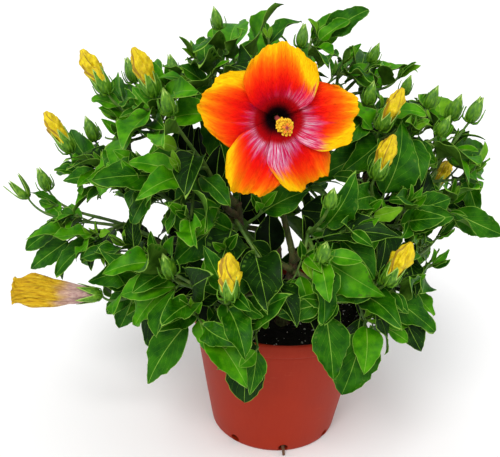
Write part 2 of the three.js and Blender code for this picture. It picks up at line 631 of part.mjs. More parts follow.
const cut = SOIL_TOP + CLEARANCE;
const belowSoil = solid(new THREE.BoxGeometry(POT_RIM_RADIUS, POT_RIM_RADIUS, cut).translate(0, 0, cut / 2));
const stems = {};
for (const [name, sizes] of Object.entries(STEMS)) {
  stems[name] = stemRun(sizes);
  const made = limb(stems[name], stemRadius, STEM_SIDES).subtract(belowSoil);
  place(made, name);
  add(name, made, FINISH.bark);
}

// Each bough is cut clear of the stem that it leaves, and of the boughs made before it
const cutters = Object.values(stems).map((run) => limb(run, (t) => stemRadius(t) + CLEARANCE, STEM_SIDES));
const boughs = {};
for (const [name, sizes] of Object.entries({ bloom: BLOOM_BOUGH, ...BRANCHES })) {
  const run = boughRun(stems[sizes.stem], sizes);
  const whole = limb(run, boughRadius, BOUGH_SIDES);
  const made = largestOf(cutters.reduce((left, cutter) => left.subtract(cutter), whole));
  boughs[name] = run;
  cutters.push(limb(run, (t) => boughRadius(t) + CLEARANCE, BOUGH_SIDES));
  place(made, `bough_${name}`);
  add(`bough_${name}`, made, FINISH.bark);
}

const openBloom = bloom(boughs.bloom);
place(openBloom, "bloom");
place(turned(BLOOM_FRONT, 8, BLOOM_THROAT, BLOOM_AXIS), "bloom");
add("bloom", openBloom, FINISH.petal);

const masses = {};
for (const [name, sizes] of Object.entries(BRANCHES)) masses[name] = twigsOf(name, boughs[name], sizes);
for (const [name, twig, ...sizes] of PLAIN_LEAVES) {
  settle(plainLeaf(masses[name].runs[twig].run, ...sizes), name, masses);
}
Object.entries(masses).forEach(([name, { wood, runs, leaves }], i) => {
  const random = randomFrom(FIRST_SEED + i);
  for (const { run, bareShare } of runs) {
    for (const leaf of leavesOf(run, random, bareShare)) settle(leaf, name, masses);
  }
  add(`foliage_${name}`, largestOf(wasm.Manifold.union([...wood, ...leaves])), FINISH.leaf);
});

export default plant;
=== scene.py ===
"""A potted hibiscus shrub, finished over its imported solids.

Sizes are in millimetres, in the frame of the solids: +Z is up, -Y is the front, and the origin is the
middle of the pot's flat underside. They turn to metres as a piece's mesh is made.
"""

import math
import random

import bpy
import numpy as np
from mathutils import Matrix, Quaternion, Vector, noise
from mathutils.bvhtree import BVHTree


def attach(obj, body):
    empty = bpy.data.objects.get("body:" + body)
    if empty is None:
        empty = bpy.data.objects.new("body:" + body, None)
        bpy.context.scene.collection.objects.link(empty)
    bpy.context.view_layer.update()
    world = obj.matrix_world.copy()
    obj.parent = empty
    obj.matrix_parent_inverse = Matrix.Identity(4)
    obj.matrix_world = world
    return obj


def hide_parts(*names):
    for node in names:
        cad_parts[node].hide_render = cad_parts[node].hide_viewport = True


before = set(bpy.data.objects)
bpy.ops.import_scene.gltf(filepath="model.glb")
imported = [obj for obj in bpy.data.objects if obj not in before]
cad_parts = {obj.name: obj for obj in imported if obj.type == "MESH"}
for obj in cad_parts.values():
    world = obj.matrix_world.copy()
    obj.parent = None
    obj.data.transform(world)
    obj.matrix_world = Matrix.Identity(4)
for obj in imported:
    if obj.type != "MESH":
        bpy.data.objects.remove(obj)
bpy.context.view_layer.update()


# The pot is a round nursery pot, thin-walled, injection moulded in terracotta-red plastic. A rounded lip
# stands proud of the wall above a fine groove, and eight drain holes are cut through the edge where the
# wall meets the floor. Its line is radius and height, up the outside and down the inside.
POT_LINE = [
    (0, 0), (30, 0), (52, 0), (57.4, 0), (59.0, 0.5), (60.0, 1.7), (60.5, 3.5), (62.4, 14), (66.0, 34),
    (69.5, 54), (73.0, 75), (76.2, 94), (78.9, 110), (79.3, 113.0), (79.2, 114.2), (79.9, 114.9),
    (81.2, 115.1), (82.1, 115.6), (82.4, 116.6), (82.5, 121), (82.4, 125.8), (82.0, 127.2), (81.3, 127.9),
    (80.6, 127.8), (80.2, 127.0), (79.9, 121), (79.6, 115.6), (77.8, 112.6), (75.6, 100), (69.0, 60),
    (62.0, 21), (59.0, 4.2), (57.5, 3.0), (40, 3), (0, 3),
]
POT_SIDES = 128
DRAIN_HOLES = 8
DRAIN_RADIUS = 4.5
DRAIN_HEIGHT = 4.6
DRAIN_SIDES = 20
FOOT_RADIUS = 60.5


def seen(red, green, blue):
    """A colour given as it is seen, from 0 to 255, in the linear values that a shader takes."""
    shares = (red / 255, green / 255, blue / 255)
    return tuple(c / 12.92 if c <= 0.04045 else ((c + 0.055) / 1.055) ** 2.4 for c in shares) + (1.0,)


class Wire:
    """The output of a node of a finish. Arithmetic on wires adds Math nodes."""

    def __init__(self, finish, socket):
        self.finish = finish
        self.socket = socket

    def maths(self, operation, first, second=0.0):
        """A Math node with one operation."""
        return self.finish.node("ShaderNodeMath", {"operation": operation}, {0: first, 1: second})

    def __add__(self, other):
        return self.maths("ADD", self, other)

    def __sub__(self, other):
        return self.maths("SUBTRACT", self, other)

    def __rsub__(self, other):
        return self.maths("SUBTRACT", other, self)

    def __mul__(self, other):
        return self.maths("MULTIPLY", self, other)

    __radd__ = __add__
    __rmul__ = __mul__


class Finish:
    """A material made of nodes round one surface shader."""

    def __init__(self, name):
        self.material = bpy.data.materials.new(name)
        self.material.use_nodes = True
        self.tree = self.material.node_tree
        self.shader = self.tree.nodes["Principled BSDF"]

    def put(self, socket, value):
        """Gives a socket a wire or a value."""
        if isinstance(value, Wire):
            self.tree.links.new(value.socket, socket)
        else:
            socket.default_value = value

    def node(self, kind, settings=None, inputs=None, output=0):
        """Adds a node of a type, with its settings first and then the values or wires of its sockets."""
        made = self.tree.nodes.new(kind)
        for name, value in (settings or {}).items():
            if name == "stops":
                elements = made.color_ramp.elements
                elements[0].position, elements[0].color = value[0]
                elements[1].position, elements[1].color = value[-1]
                for place, tint in value[1:-1]:
                    elements.new(place).color = tint
            else:
                setattr(made, name, value)
        for name, value in (inputs or {}).items():
            self.put(made.inputs[name], value)
        return Wire(self, made.outputs[output])

    def ramp(self, share, *stops):
        """Colours by a share from 0 to 1. Each stop is its place, and its colour as it is seen."""
        stops = [(place, seen(*colour)) for place, *colour in stops]
        return self.node("ShaderNodeValToRGB", {"stops": stops}, {"Fac": share})

    def band(self, share, low, high):
        """0 below low, 1 above high, and a smooth step between them."""
        return self.node("ShaderNodeMapRange", {"interpolation_type": "SMOOTHSTEP"},
                         {"Value": share, "From Min": low, "From Max": high})

    def mix(self, share, first, second):
        """A mix of two colours, which are sockets 6 and 7 of its node."""
        return self.node("ShaderNodeMix", {"data_type": "RGBA"}, {0: share, 6: first, 7: second}, 2)

    def place(self):
        """Where a point lies along the object's own axes, in metres."""
        return self.node("ShaderNodeTexCoord", output="Object")

    def spots(self, size, detail=2.0, stretch=(1, 1, 1), sharpness=0.5):
        """Cloudy noise whose spots are about a size in millimetres, stretched along the axes."""
        scaled = self.node("ShaderNodeVectorMath", {"operation": "DIVIDE"}, {0: self.place(), 1: stretch})
        return self.noise(scaled, 1000 / size, detail, sharpness)

    def noise(self, place, scale, detail, sharpness=0.5):
        """Cloudy noise from 0 to 1."""
        return self.node("ShaderNodeTexNoise", None,
                         {"Vector": place, "Scale": scale, "Detail": detail, "Roughness": sharpness})

    def relief(self, height, depth):
        """Feeds a height from 0 to 1, worth a depth in millimetres, to the surface's normal."""
        sizes = {"Height": height, "Strength": 1.0, "Distance": depth / 1000}
        self.put(self.shader.inputs["Normal"], self.node("ShaderNodeBump", None, sizes))

    def surface(self, **sockets):
        """Sets the shader's own sockets: base_color is Base Color, and so on."""
        for name, value in sockets.items():
            self.put(self.shader.inputs[name.replace("_", " ").title().replace("Ior", "IOR")], value)
        return self.material


def quads(rows, columns, closed=False, start=0, turned=False):
    """The four-cornered faces of a grid of points, row by row. A closed grid joins its two sides."""
    i, j = np.meshgrid(np.arange(rows - 1), np.arange(columns if closed else columns - 1), indexing="ij")
    a = i * columns + j
    b = i * columns + (j + 1) % columns
    faces = np.stack([a, b, b + columns, a + columns], -1).reshape(-1, 4) + start
    return faces[:, ::-1] if turned else faces


def tube_faces(rows, sides):
    """The faces of a closed grid, with a flat cap at each end."""
    last = (rows - 1) * sides
    caps = [list(range(sides))[::-1], list(range(last, last + sides))]
    return quads(rows, sides, closed=True).tolist() + caps


class Shape:
    """Points in millimetres and faces, gathered for one mesh. Each face has the number of its finish."""

    def __init__(self):
        self.points, self.faces, self.kinds = [], [], []
        self.count = 0

    def add(self, points, faces, kinds=0):
        """Adds points, and faces whose corners are counted from the first of them."""
        points = np.asarray(points, float).reshape(-1, 3)
        faces = faces.tolist() if isinstance(faces, np.ndarray) else faces
        self.points.append(points)
        self.faces += [[self.count + corner for corner in face] for face in faces]
        self.kinds += np.broadcast_to(kinds, len(faces)).tolist()
        self.count += len(points)
        return self

    def tree(self):
        """Its faces as a tree in which others can be looked for."""
        return BVHTree.FromPolygons(np.concatenate(self.points).tolist(), self.faces)

    def piece(self, name, finishes, slot=None, crease=180):
        """Makes the mesh, in metres. Edges that turn more than a crease in degrees stay sharp.

        A piece with a slot rides on the root.
        """
        mesh = bpy.data.meshes.new(name)
        mesh.from_pydata((np.concatenate(self.points) / 1000).tolist(), [], self.faces)
        mesh.polygons.foreach_set("material_index", self.kinds)
        mesh.polygons.foreach_set("use_smooth", [True] * len(mesh.polygons))
        for finish in finishes:
            mesh.materials.append(finish)
        if crease < 180:
            mesh.set_sharp_from_angle(angle=math.radians(crease))
        made = bpy.data.objects.new(name, mesh)
        bpy.context.scene.collection.objects.link(made)
        if slot:
            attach(made, "root")
        return made


def turning(line, sides):
    """A line of radius and height turned about the upright axis, from one point on it to another."""
    turns = np.arange(sides) * 2 * math.pi / sides
    inner = line[1:-1]
    points = [(r * math.cos(a), r * math.sin(a), z) for r, z in inner for a in turns]
    points += [(0, 0, line[0][1]), (0, 0, line[-1][1])]
    faces = quads(len(inner), sides, closed=True).tolist()
    last = (len(inner) - 1) * sides
    faces += [((k + 1) % sides, k, len(points) - 2) for k in range(sides)]
    faces += [(last + k, last + (k + 1) % sides, len(points) - 1) for k in range(sides)]
    return points, faces


pot_red = Finish("pot_plastic")
cloud = pot_red.spots(38, 3)
flow = pot_red.spots(2.2, 2, stretch=(1, 1, 26))
grain = pot_red.spots(0.5, 2)
scuffs = pot_red.band(pot_red.spots(7, 6, stretch=(3, 3, 1), sharpness=0.7), 0.62, 0.74)
moulded = pot_red.mix(cloud, seen(142, 32, 8), seen(160, 40, 12))
moulded = pot_red.mix(flow * 0.3, moulded, seen(168, 54, 22))
pot_red.relief(grain * 0.5 + flow * 0.5, 0.06)
pot_red.surface(
    base_color=pot_red.mix(scuffs * 0.3, moulded, seen(190, 92, 64)),
    roughness=0.42 + 0.14 * cloud + 0.12 * scuffs,
    specular_ior_level=0.16,
)

pot = Shape().add(*turning(POT_LINE, POT_SIDES)).piece("nursery_pot", [pot_red.material], "pot")
drill = Shape()
for i in range(DRAIN_HOLES):
    turn = (i + 0.25) * 2 * math.pi / DRAIN_HOLES
    out = np.array([math.cos(turn), math.sin(turn), 0])
    side = np.array([-out[1], out[0], 0])
    wide, high = side * DRAIN_RADIUS, np.array([0, 0, DRAIN_RADIUS * 0.9])
    circle = [wide * math.cos(a) + high * math.sin(a) + (0, 0, DRAIN_HEIGHT)
              for a in np.linspace(0, 2 * math.pi, DRAIN_SIDES, endpoint=False)]
    drill.add([out * reach + place for reach in (FOOT_RADIUS - 8, FOOT_RADIUS + 6) for place in circle],
              tube_faces(2, DRAIN_SIDES))
cutter = drill.piece("drain_cutter", [pot_red.material], "pot")
holes = pot.modifiers.new("drain_holes", "BOOLEAN")
holes.object = cutter
holes.operation = "DIFFERENCE"
holes.solver = "EXACT"
pot.data = bpy.data.meshes.new_from_object(pot.evaluated_get(bpy.context.evaluated_depsgraph_get()))
pot.modifiers.clear()
bpy.data.objects.remove(cutter)
pot.data.set_sharp_from_angle(angle=math.radians(50))
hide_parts("pot")


# The soil is dark peat with white perlite crumbs and bits of bark. It fills the pot to a finger's breadth
# below its rim, and is a little lumpy and higher round the stems.
SOIL_TOP = 120
SOIL_EDGE = 116.6
SOIL_RADIUS = 77.2
SOIL_RINGS = 44
SOIL_SIDES = 150
CRUMBS = 520
PERLITE_CRUMBS = 330


def soil_height(x, y):
    """The height of the soil's surface at a place, with its lumps."""
    share = math.hypot(x, y) / SOIL_RADIUS
    lumps = noise.fractal(Vector((x / 9, y / 9, 3.1)), 0.9, 2.1, 4) * 1.5
    return SOIL_EDGE + (SOIL_TOP - SOIL_EDGE - 1.4) * (1 - share ** 3) + lumps * (1 - 0.6 * share)


soil_black = Finish("peat")
crumbs = soil_black.spots(1.6, 6, sharpness=0.75)
soil_black.relief(crumbs, 1.6)
soil_black.surface(
    base_color=soil_black.ramp(crumbs, (0.3, 9, 7, 6), (0.52, 24, 18, 14), (0.75, 52, 39, 29)),
    roughness=0.95,
    specular_ior_level=0.2,
)
rows = [(0.4, None)] + [(SOIL_RADIUS * (k / SOIL_RINGS) ** 0.8, None) for k in range(1, SOIL_RINGS + 1)]
rows += [(76.6, 112.0), (73.8, 98.0), (58.5, 6.0), (57.0, 3.4), (0.4, 3.4)]
soil_points = []
for radius, height in rows:
    for a in np.arange(SOIL_SIDES) * 2 * math.pi / SOIL_SIDES:
        x, y = radius * math.cos(a), radius * math.sin(a)
        soil_points.append((x, y, soil_height(x, y) if height is None else height))
soil_faces = [face[::-1] for face in tube_faces(len(rows), SOIL_SIDES)]
soil = Shape().add(soil_points, soil_faces).piece("peat_soil", [soil_black.material], "soil")
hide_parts("soil")


def mottled(name, size, dark, light, roughness, detail=3, stretch=(1, 1, 1), depth=0.0):
    """A finish of two colours in spots of a size, which stand up by a depth."""
    made = Finish(name)
    spots = made.spots(size, detail, stretch)
    if depth:
        made.relief(spots, depth)
    return made.surface(base_color=made.mix(spots, seen(*dark), seen(*light)), roughness=roughness)


perlite_white = mottled("perlite", 0.6, (196, 192, 184), (246, 244, 238), 0.9, depth=0.3)
chip_brown = mottled("bark_chip", 0.8, (44, 29, 18), (96, 66, 40), 0.9, stretch=(4, 1, 1), depth=0.3)

# A crumb's corners and faces: an even solid of twenty triangles
GOLD = (1 + 5 ** 0.5) / 2
SIGNS = [(s, g) for s in (-1, 1) for g in (-GOLD, GOLD)]
LUMP_POINTS = np.array([(0, s, g) for s, g in SIGNS] + [(s, g, 0) for s, g in SIGNS]
                       + [(g, 0, s) for s, g in SIGNS]) / math.hypot(1, GOLD)
LUMP_FACES = [(a, b, c) for a in range(12) for b in range(a + 1, 12) for c in range(a + 1, 12)
              if np.linalg.det(LUMP_POINTS[[a, b, c]]) > 0
              and max(math.dist(LUMP_POINTS[i], LUMP_POINTS[j]) for i, j in ((a, b), (b, c), (a, c))) < 1.2]


def lump(shape, place, sizes, draw, kind=0):
    """An uneven crumb, turned any way."""
    turn = Quaternion([draw.gauss(0, 1) for _ in range(4)]).normalized()
    points = [turn @ Vector([c * s * draw.uniform(0.75, 1.2) for c, s in zip(p, sizes)]) + Vector(place)
              for p in LUMP_POINTS]
    shape.add(points, LUMP_FACES, kind)


crumb_draw = random.Random(7)
perlite_shape, chip_shape = Shape(), Shape()
for k in range(CRUMBS):
    away = SOIL_RADIUS * 0.97 * math.sqrt(crumb_draw.random())
    turn = crumb_draw.uniform(0, 2 * math.pi)
    x, y = away * math.cos(turn), away * math.sin(turn)
    spot = (x, y, soil_height(x, y) + 0.2)
    if k < PERLITE_CRUMBS:
        size = 0.35 + 0.75 * crumb_draw.random() ** 2
        lump(perlite_shape, spot, (size, size, size * 0.8), crumb_draw)
    else:
        size = crumb_draw.uniform(0.4, 0.9)
        lump(chip_shape, spot, (size * crumb_draw.uniform(1.5, 4.5), size, size * 0.6), crumb_draw)
perlite_shape.piece("perlite_crumbs", [perlite_white], "soil")
chip_shape.piece("bark_chips", [chip_brown], "soil", crease=40)


# The four main stems are young wood in brown-grey bark with fine fissures and a ring at each old leaf's
# place. They flare where they enter the soil, lean out and end at a fork. Each has its foot and its fork.
STEMS = {
    "stem_west": ((-26, -2), (-42, -8, 226)),
    "stem_front": ((4, -24), (10, -52, 196)),
    "stem_east": ((28, 4), (44, -6, 220)),
    "stem_north": ((-2, 28), (-12, 46, 218)),
}
STEM_STEPS = 84
STEM_SIDES = 18
STEM_RINGS_APART = 13
UP = Vector((0, 0, 1))
CROWN_CENTRE = Vector((-15, 0, 235))


def bezier(corners, steps):
    """A cubic curve at equal steps of its parameter."""
    a, b, c, d = (np.array(corner, float) for corner in corners)
    t = np.linspace(0, 1, steps + 1)[:, None]
    return a * (1 - t) ** 3 + 3 * b * t * (1 - t) ** 2 + 3 * c * t * t * (1 - t) + d * t ** 3


def along_run(run, t):
    """The place at a share of a run of points, and the heading there."""
    at = min(t, 0.9999) * (len(run) - 1)
    i = int(at)
    first, second = Vector(run[i]), Vector(run[i + 1])
    return first.lerp(second, at - i), (second - first).normalized()


def stem_corners(foot, fork):
    """The four corners of a stem's curve."""
    start = Vector((foot[0], foot[1], SOIL_TOP - 3))
    end = Vector(fork)
    rise = end.z - start.z
    return (start, start + Vector((foot[0] * 0.12, foot[1] * 0.12, rise * 0.4)),
            end + Vector(((foot[0] - fork[0]) * 0.2, (foot[1] - fork[1]) * 0.2, -rise * 0.35)), end)


def level_out(place):
    """The level way from the middle of the crown to a place."""
    return Vector((place.x - CROWN_CENTRE.x, place.y - CROWN_CENTRE.y, 0)).normalized()


def limb(shape, run, radius, sides, kind=0, relief=None):
    """Adds a limb along a run of points. Its radius is a function of the share from 0 to 1."""
    run = np.asarray(run, float)
    last = len(run) - 1
    turns = np.arange(sides) * 2 * math.pi / sides
    rings, across = [], None
    for i, centre in enumerate(run):
        heading = run[min(i + 1, last)] - run[max(i - 1, 0)]
        heading = heading / np.linalg.norm(heading)
        if across is None:
            across = heading[[2, 0, 1]]
        across = across - heading * across.dot(heading)
        across = across / np.linalg.norm(across)
        beside = np.cross(heading, across)
        ring = np.cos(turns)[:, None] * across + np.sin(turns)[:, None] * beside
        wide = np.full(sides, radius(i / last))
        if relief:
            wide = wide * [relief(centre + r * wide[0], i / last) for r in ring]
        rings.append(centre + ring * wide[:, None])
    shape.add(np.concatenate(rings), tube_faces(last + 1, sides), kind)


def bark_relief(length, gap):
    """Fine fissures that run with the limb, and a ring at each old leaf's place."""
    def at(place, share):
        """How many times wider the limb is at a place, which is at a share of its length."""
        fissure = noise.noise(Vector((place[0] * 0.75, place[1] * 0.75, place[2] * 0.16)))
        knot = noise.noise(Vector(place) * 0.12)
        past = (share * length) % gap
        ring = math.exp(-((past - gap / 2) / 1.1) ** 2)
        return 1 + 0.09 * fissure + 0.07 * knot + 0.13 * ring
    return at


bark_brown = Finish("bark")
fissures = bark_brown.spots(1.3, 4, stretch=(1, 1, 7), sharpness=0.65)
patches = bark_brown.spots(9, 3)
bark_brown.relief(fissures, 0.5)
bark_brown.surface(
    base_color=bark_brown.mix(
        bark_brown.band(patches, 0.45, 0.62),
        bark_brown.ramp(fissures, (0.3, 46, 34, 22), (0.5, 98, 77, 50), (0.72, 142, 120, 88)),
        bark_brown.ramp(fissures, (0.3, 52, 52, 28), (0.55, 88, 92, 48), (0.75, 126, 128, 82))),
    roughness=0.86,
)
stems, stem_shape = {}, Shape()
for name, (foot, fork) in STEMS.items():
    corners = stem_corners(foot, fork)
    stems[name] = bezier(corners, 6)
    relief = bark_relief((corners[3] - corners[0]).length, STEM_RINGS_APART)
    limb(stem_shape, bezier(corners, STEM_STEPS), lambda t: 5.6 - 2.0 * t + 2.52 * math.exp(-14 * t),
         STEM_SIDES, relief=relief)
stem_piece = stem_shape.piece("bark_stems", [bark_brown.material], "bark")
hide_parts(*STEMS)


# One old root, brown, ringed and as thick as a straw, has grown out of the drain hole at the front. It bends
# down over the pot's foot and is cut off short.
ROOT_RUN = ((11.0, -55, 6.6), (11.8, -61, 5.6), (12.4, -64.4, 4.6), (12.8, -64.6, 0.8))
root_brown = mottled("root_skin", 1.2, (58, 34, 20), (120, 80, 50), 0.85, stretch=(3, 3, 1), depth=0.3)
root_shape = Shape()
limb(root_shape, bezier(ROOT_RUN, 10), lambda t: 1.5 - 0.4 * t, 10, relief=bark_relief(14, 4))
root_shape.piece("root_end", [root_brown], "soil", crease=60)


# The boughs are younger wood, olive under a thin brown skin with pale pores. Each leaves its stem outwards
# and comes up to the place where its foliage starts. For each: its stem, how far up that it leaves, its
# tip, and then the ends of its twigs, each with the flower that it bears, if any.
BRANCHES = {
    "left_high": ("stem_west", 0.98, (-92, -18, 272), [
        (-151, -22, 321, "closed"), (-134, 4, 326, "green"), (-107, -50, 328, "closed"), (-132, -44, 292),
        (-100, -14, 322)]),
    "left_mid": ("stem_west", 0.82, (-104, 4, 220), [
        (-194, 10, 259, "closed"), (-178, 32, 264, "green"), (-156, -14, 252), (-152, 20, 286)]),
    "left_far": ("stem_west", 0.6, (-124, 8, 182), [
        (-241, 20, 208, "cup"), (-229, 44, 208, "green"), (-196, 6, 182), (-166, -16, 190)]),
    "left_low": ("stem_west", 0.42, (-78, -44, 164), [
        (-150, -72, 160, "spent"), (-104, -62, 168), (-134, -46, 196)]),
    "front_left_high": ("stem_west", 0.9, (-60, -50, 262), [
        (-88, -88, 324, "green"), (-78, -104, 286), (-112, -84, 268), (-72, -108, 252)]),
    "front_left_low": ("stem_front", 0.62, (-46, -82, 174), [
        (-36, -148, 206, "closed"), (-84, -112, 203, "green"), (-64, -128, 180), (-98, -90, 206),
        (-14, -126, 172)]),
    "front_centre": ("stem_front", 0.86, (-24, -62, 214), [
        (-50, -92, 250), (-18, -96, 256), (-42, -110, 226), (-6, -112, 214)]),
    "front_mid": ("stem_front", 1, (16, -80, 222), [
        (31, -130, 274, "green"), (28, -138, 236, "green"), (16, -116, 224), (52, -106, 244)]),
    "front_right_low": ("stem_front", 0.82, (46, -76, 178), [
        (80, -110, 207, "closed"), (34, -124, 196), (70, -98, 168), (96, -72, 190)]),
    "right_low": ("stem_east", 0.5, (88, -28, 182), [
        (124, -50, 196), (104, -58, 222), (134, -14, 206)]),
    "right_mid": ("stem_east", 0.74, (78, -40, 214), [
        (68, -72, 278, "closed"), (96, -64, 254), (136, -24, 244), (58, -84, 248)]),
    "right_far": ("stem_east", 0.9, (104, 4, 238), [
        (152, 8, 306, "green"), (139, 22, 304, "green"), (156, 14, 258), (148, 0, 236), (142, 22, 280)]),
    "right_high": ("stem_east", 0.98, (74, -12, 268), [
        (72, -40, 308, "closed"), (114, 2, 318, "green"), (122, -18, 300, "green"),
        (62, -22, 324, "green"), (98, -22, 300)]),
    "top_right": ("stem_north", 0.98, (26, 20, 296), [
        (65, 20, 350, "green"), (14, 10, 366), (88, 16, 338), (40, 4, 350)]),
    "top_left": ("stem_west", 1, (-48, 2, 302), [
        (-63, 8, 373, "green"), (-80, -6, 350), (-22, 8, 366), (-78, -28, 328)]),
    "back_left_high": ("stem_north", 0.9, (-62, 60, 272), [
        (-112, 84, 316, "green"), (-74, 70, 342), (-134, 62, 292), (-84, 118, 296)]),
    "back_left_low": ("stem_north", 0.55, (-70, 66, 186), [
        (-146, 92, 216, "green"), (-112, 128, 210), (-128, 92, 186), (-162, 62, 206)]),
    "back_high": ("stem_north", 1, (-6, 70, 286), [
        (6, 92, 348, "green"), (-34, 104, 326), (38, 106, 318), (-2, 142, 284)]),
    "back_low": ("stem_north", 0.72, (-8, 80, 200), [
        (-20, 162, 232, "green"), (-52, 140, 194), (24, 144, 190), (14, 148, 238)]),
    "back_right_high": ("stem_east", 0.94, (72, 50, 264), [
        (104, 76, 312, "green"), (66, 96, 318), (128, 76, 280), (84, 118, 272)]),
    "back_right_low": ("stem_east", 0.55, (82, 50, 184), [
        (142, 84, 214, "closed"), (98, 120, 210), (136, 66, 186), (152, 40, 222)]),
}
BLOOM_BOUGH = ("stem_front", 0.98, (-10, -60, 280))
BOUGH_STEPS = 44
BOUGH_SIDES = 12
BOUGH_RINGS_APART = 15


def bough_corners(stem, share, to):
    """The four corners of a bough's curve."""
    start, end = along_run(stems[stem], share)[0], Vector(to)
    reach, out = (end - start).length, level_out(end)
    return (start, start + out * reach * 0.35 + UP * reach * 0.12,
            end - out * reach * 0.2 - UP * reach * 0.22, end)


bough_olive = Finish("bough_skin")
skin = bough_olive.spots(5, 4, stretch=(1, 1, 2))
pores = bough_olive.node("ShaderNodeTexVoronoi", None, {"Vector": bough_olive.place(), "Scale": 520.0})
bough_olive.relief(bough_olive.spots(0.9, 4, stretch=(1, 1, 4)), 0.25)
bough_olive.surface(
    base_color=bough_olive.mix(
        0.55 * (1 - bough_olive.band(pores, 0.12, 0.24)),
        bough_olive.ramp(skin, (0.32, 62, 78, 28), (0.5, 88, 96, 42), (0.66, 112, 88, 54)),
        seen(168, 158, 116)),
    roughness=0.7,
)
boughs, bough_shape = {}, Shape()
for name, (stem, share, to) in [("bloom", BLOOM_BOUGH)] + [(n, b[:3]) for n, b in BRANCHES.items()]:
    corners = bough_corners(stem, share, to)
    boughs[name] = bezier(corners, 4)
    relief = bark_relief((corners[3] - corners[0]).length, BOUGH_RINGS_APART)
    limb(bough_shape, bezier(corners, BOUGH_STEPS), lambda t: 3.1 - 1.0 * t, BOUGH_SIDES, relief=relief)
bough_piece = bough_shape.piece("bark_boughs", [bough_olive.material], "bark")
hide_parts(*("bough_" + name for name in boughs))


# The open bloom is five broad overlapping petals on a green calyx and a thin stalk, soft and thin as
# crepe, pleated from the throat and ruffled at the edge. A long column with yellow anthers stands out of
# the dark throat.
BLOOM_THROAT = Vector((-10, -86, 325))
BLOOM_AXIS = Vector((0.15, -0.98, 0.13)).normalized()
BLOOM_ACROSS = -BLOOM_AXIS.cross(UP).normalized()
BLOOM_UP = BLOOM_AXIS.cross(BLOOM_ACROSS).normalized()
# For each petal: its turn clockwise from straight up, its length and width, how far its pale zone reaches,
# how much further that is on its clockwise side, how white the zone is, how broad its yellow border is, and
# how far it lies over its neighbours
PETALS = {
    "top": (-1, 53, 59, 0.36, 0.3, 0.4, 0.50, 2.6),
    "right": (83, 56, 53, 0.50, 0.22, 0.8, 0.38, 0.4),
    "low": (150, 53, 50, 0.54, 0.3, 1.5, 0.24, -1.0),
    "low_left": (207, 59, 50, 0.54, -0.12, 1.3, 0.30, 0.4),
    "left": (284, 57, 62, 0.40, -0.1, 0.45, 0.40, -3.2),
}
PETAL_ROWS = 56
PETAL_COLUMNS = 60
PETAL_THICKNESS = 0.5
PETAL_START = 3


def bloom_place(across, up, height):
    """A point of the bloom from its distances across, up and along its axis."""
    axes = np.array([BLOOM_ACROSS, BLOOM_UP, BLOOM_AXIS])
    return np.array(BLOOM_THROAT) + np.stack([across, up, height], -1) @ axes


def petal_points(sizes, u, v, lift, seed):
    """A petal's surface: v runs from the throat to the edge and u from one side to the other."""
    turn, length, width, _, _, _, _, layer = sizes
    middle = math.radians(turn)
    notch = (0.035 * np.sin(u * 4.6 + seed * 1.7) + 0.016 * np.sin(u * 13 + seed)
             + 0.006 * np.sin(u * 37 + seed * 3) + 0.003 * np.sin(u * 59 + seed))
    outline = 1 - 0.15 * np.abs(u) ** 3.4 * v + notch * v ** 6
    reach = PETAL_START + (length - PETAL_START) * v * outline
    half = 0.5 * width * np.sin(np.minimum(1, 0.1 + v * 0.98) * math.pi * 0.6) ** 1.2
    half = half * (1 + 0.04 * np.sin(v * 14 + seed * 2) * v) * (1 - 0.1 * v ** 6)
    height = 25 * (1 - np.exp(-v * 3.6)) - 5 * v * v + 2.4 * u * v + lift + layer * v ** 0.5
    pleat = 0.55 * np.sin(u * 15 + seed * 2.1) * v * (1 - 0.4 * v) + 0.16 * np.sin(u * 37 + seed) * v
    ruffle = v ** 4 * (2.8 * np.sin(u * 5.4 + seed * 1.3) + 1.1 * np.sin(u * 13 + seed * 0.6)
                       + 0.45 * np.sin(u * 29 + seed * 2))
    side = 1.5 * np.sin(v * 13 + seed) * np.abs(u) ** 5 * v
    height = height + pleat + ruffle + side
    angle = middle + u * half / reach
    return bloom_place(reach * np.sin(angle), reach * np.cos(angle), height)


def sheet_faces(rows, columns):
    """The faces of a thin closed sheet: its front grid, its back grid, and the rim between them."""
    front = quads(rows, columns)
    back = quads(rows, columns, start=rows * columns, turned=True)
    grid = np.arange(rows * columns).reshape(rows, columns)
    rim = [*grid[0, :-1], *grid[:-1, -1], *grid[-1, :0:-1], *grid[:0:-1, 0]]
    pairs = [(a, rim[(k + 1) % len(rim)]) for k, a in enumerate(rim)]
    edge = np.array([(b, a, a + rows * columns, b + rows * columns) for a, b in pairs])
    return front, back, edge


crepe = Finish("petal_crepe")


def petal_value(name):
    """A value that the petals' mesh bears at each of its points."""
    return crepe.node("ShaderNodeAttribute", {"attribute_name": name}, output="Fac")


along, across = petal_value("along"), petal_value("across")
ray = crepe.node("ShaderNodeCombineXYZ", None, {"X": across * 7 + petal_value("petal") * 9, "Y": along * 0.9})
rays = crepe.noise(ray, 4.2, 3.0, 0.65)
wide_ray = crepe.noise(ray, 0.8, 1.0)
veins = crepe.band(crepe.noise(ray, 13.0, 2.0), 0.5, 0.62)
mottle = crepe.spots(6, 3)
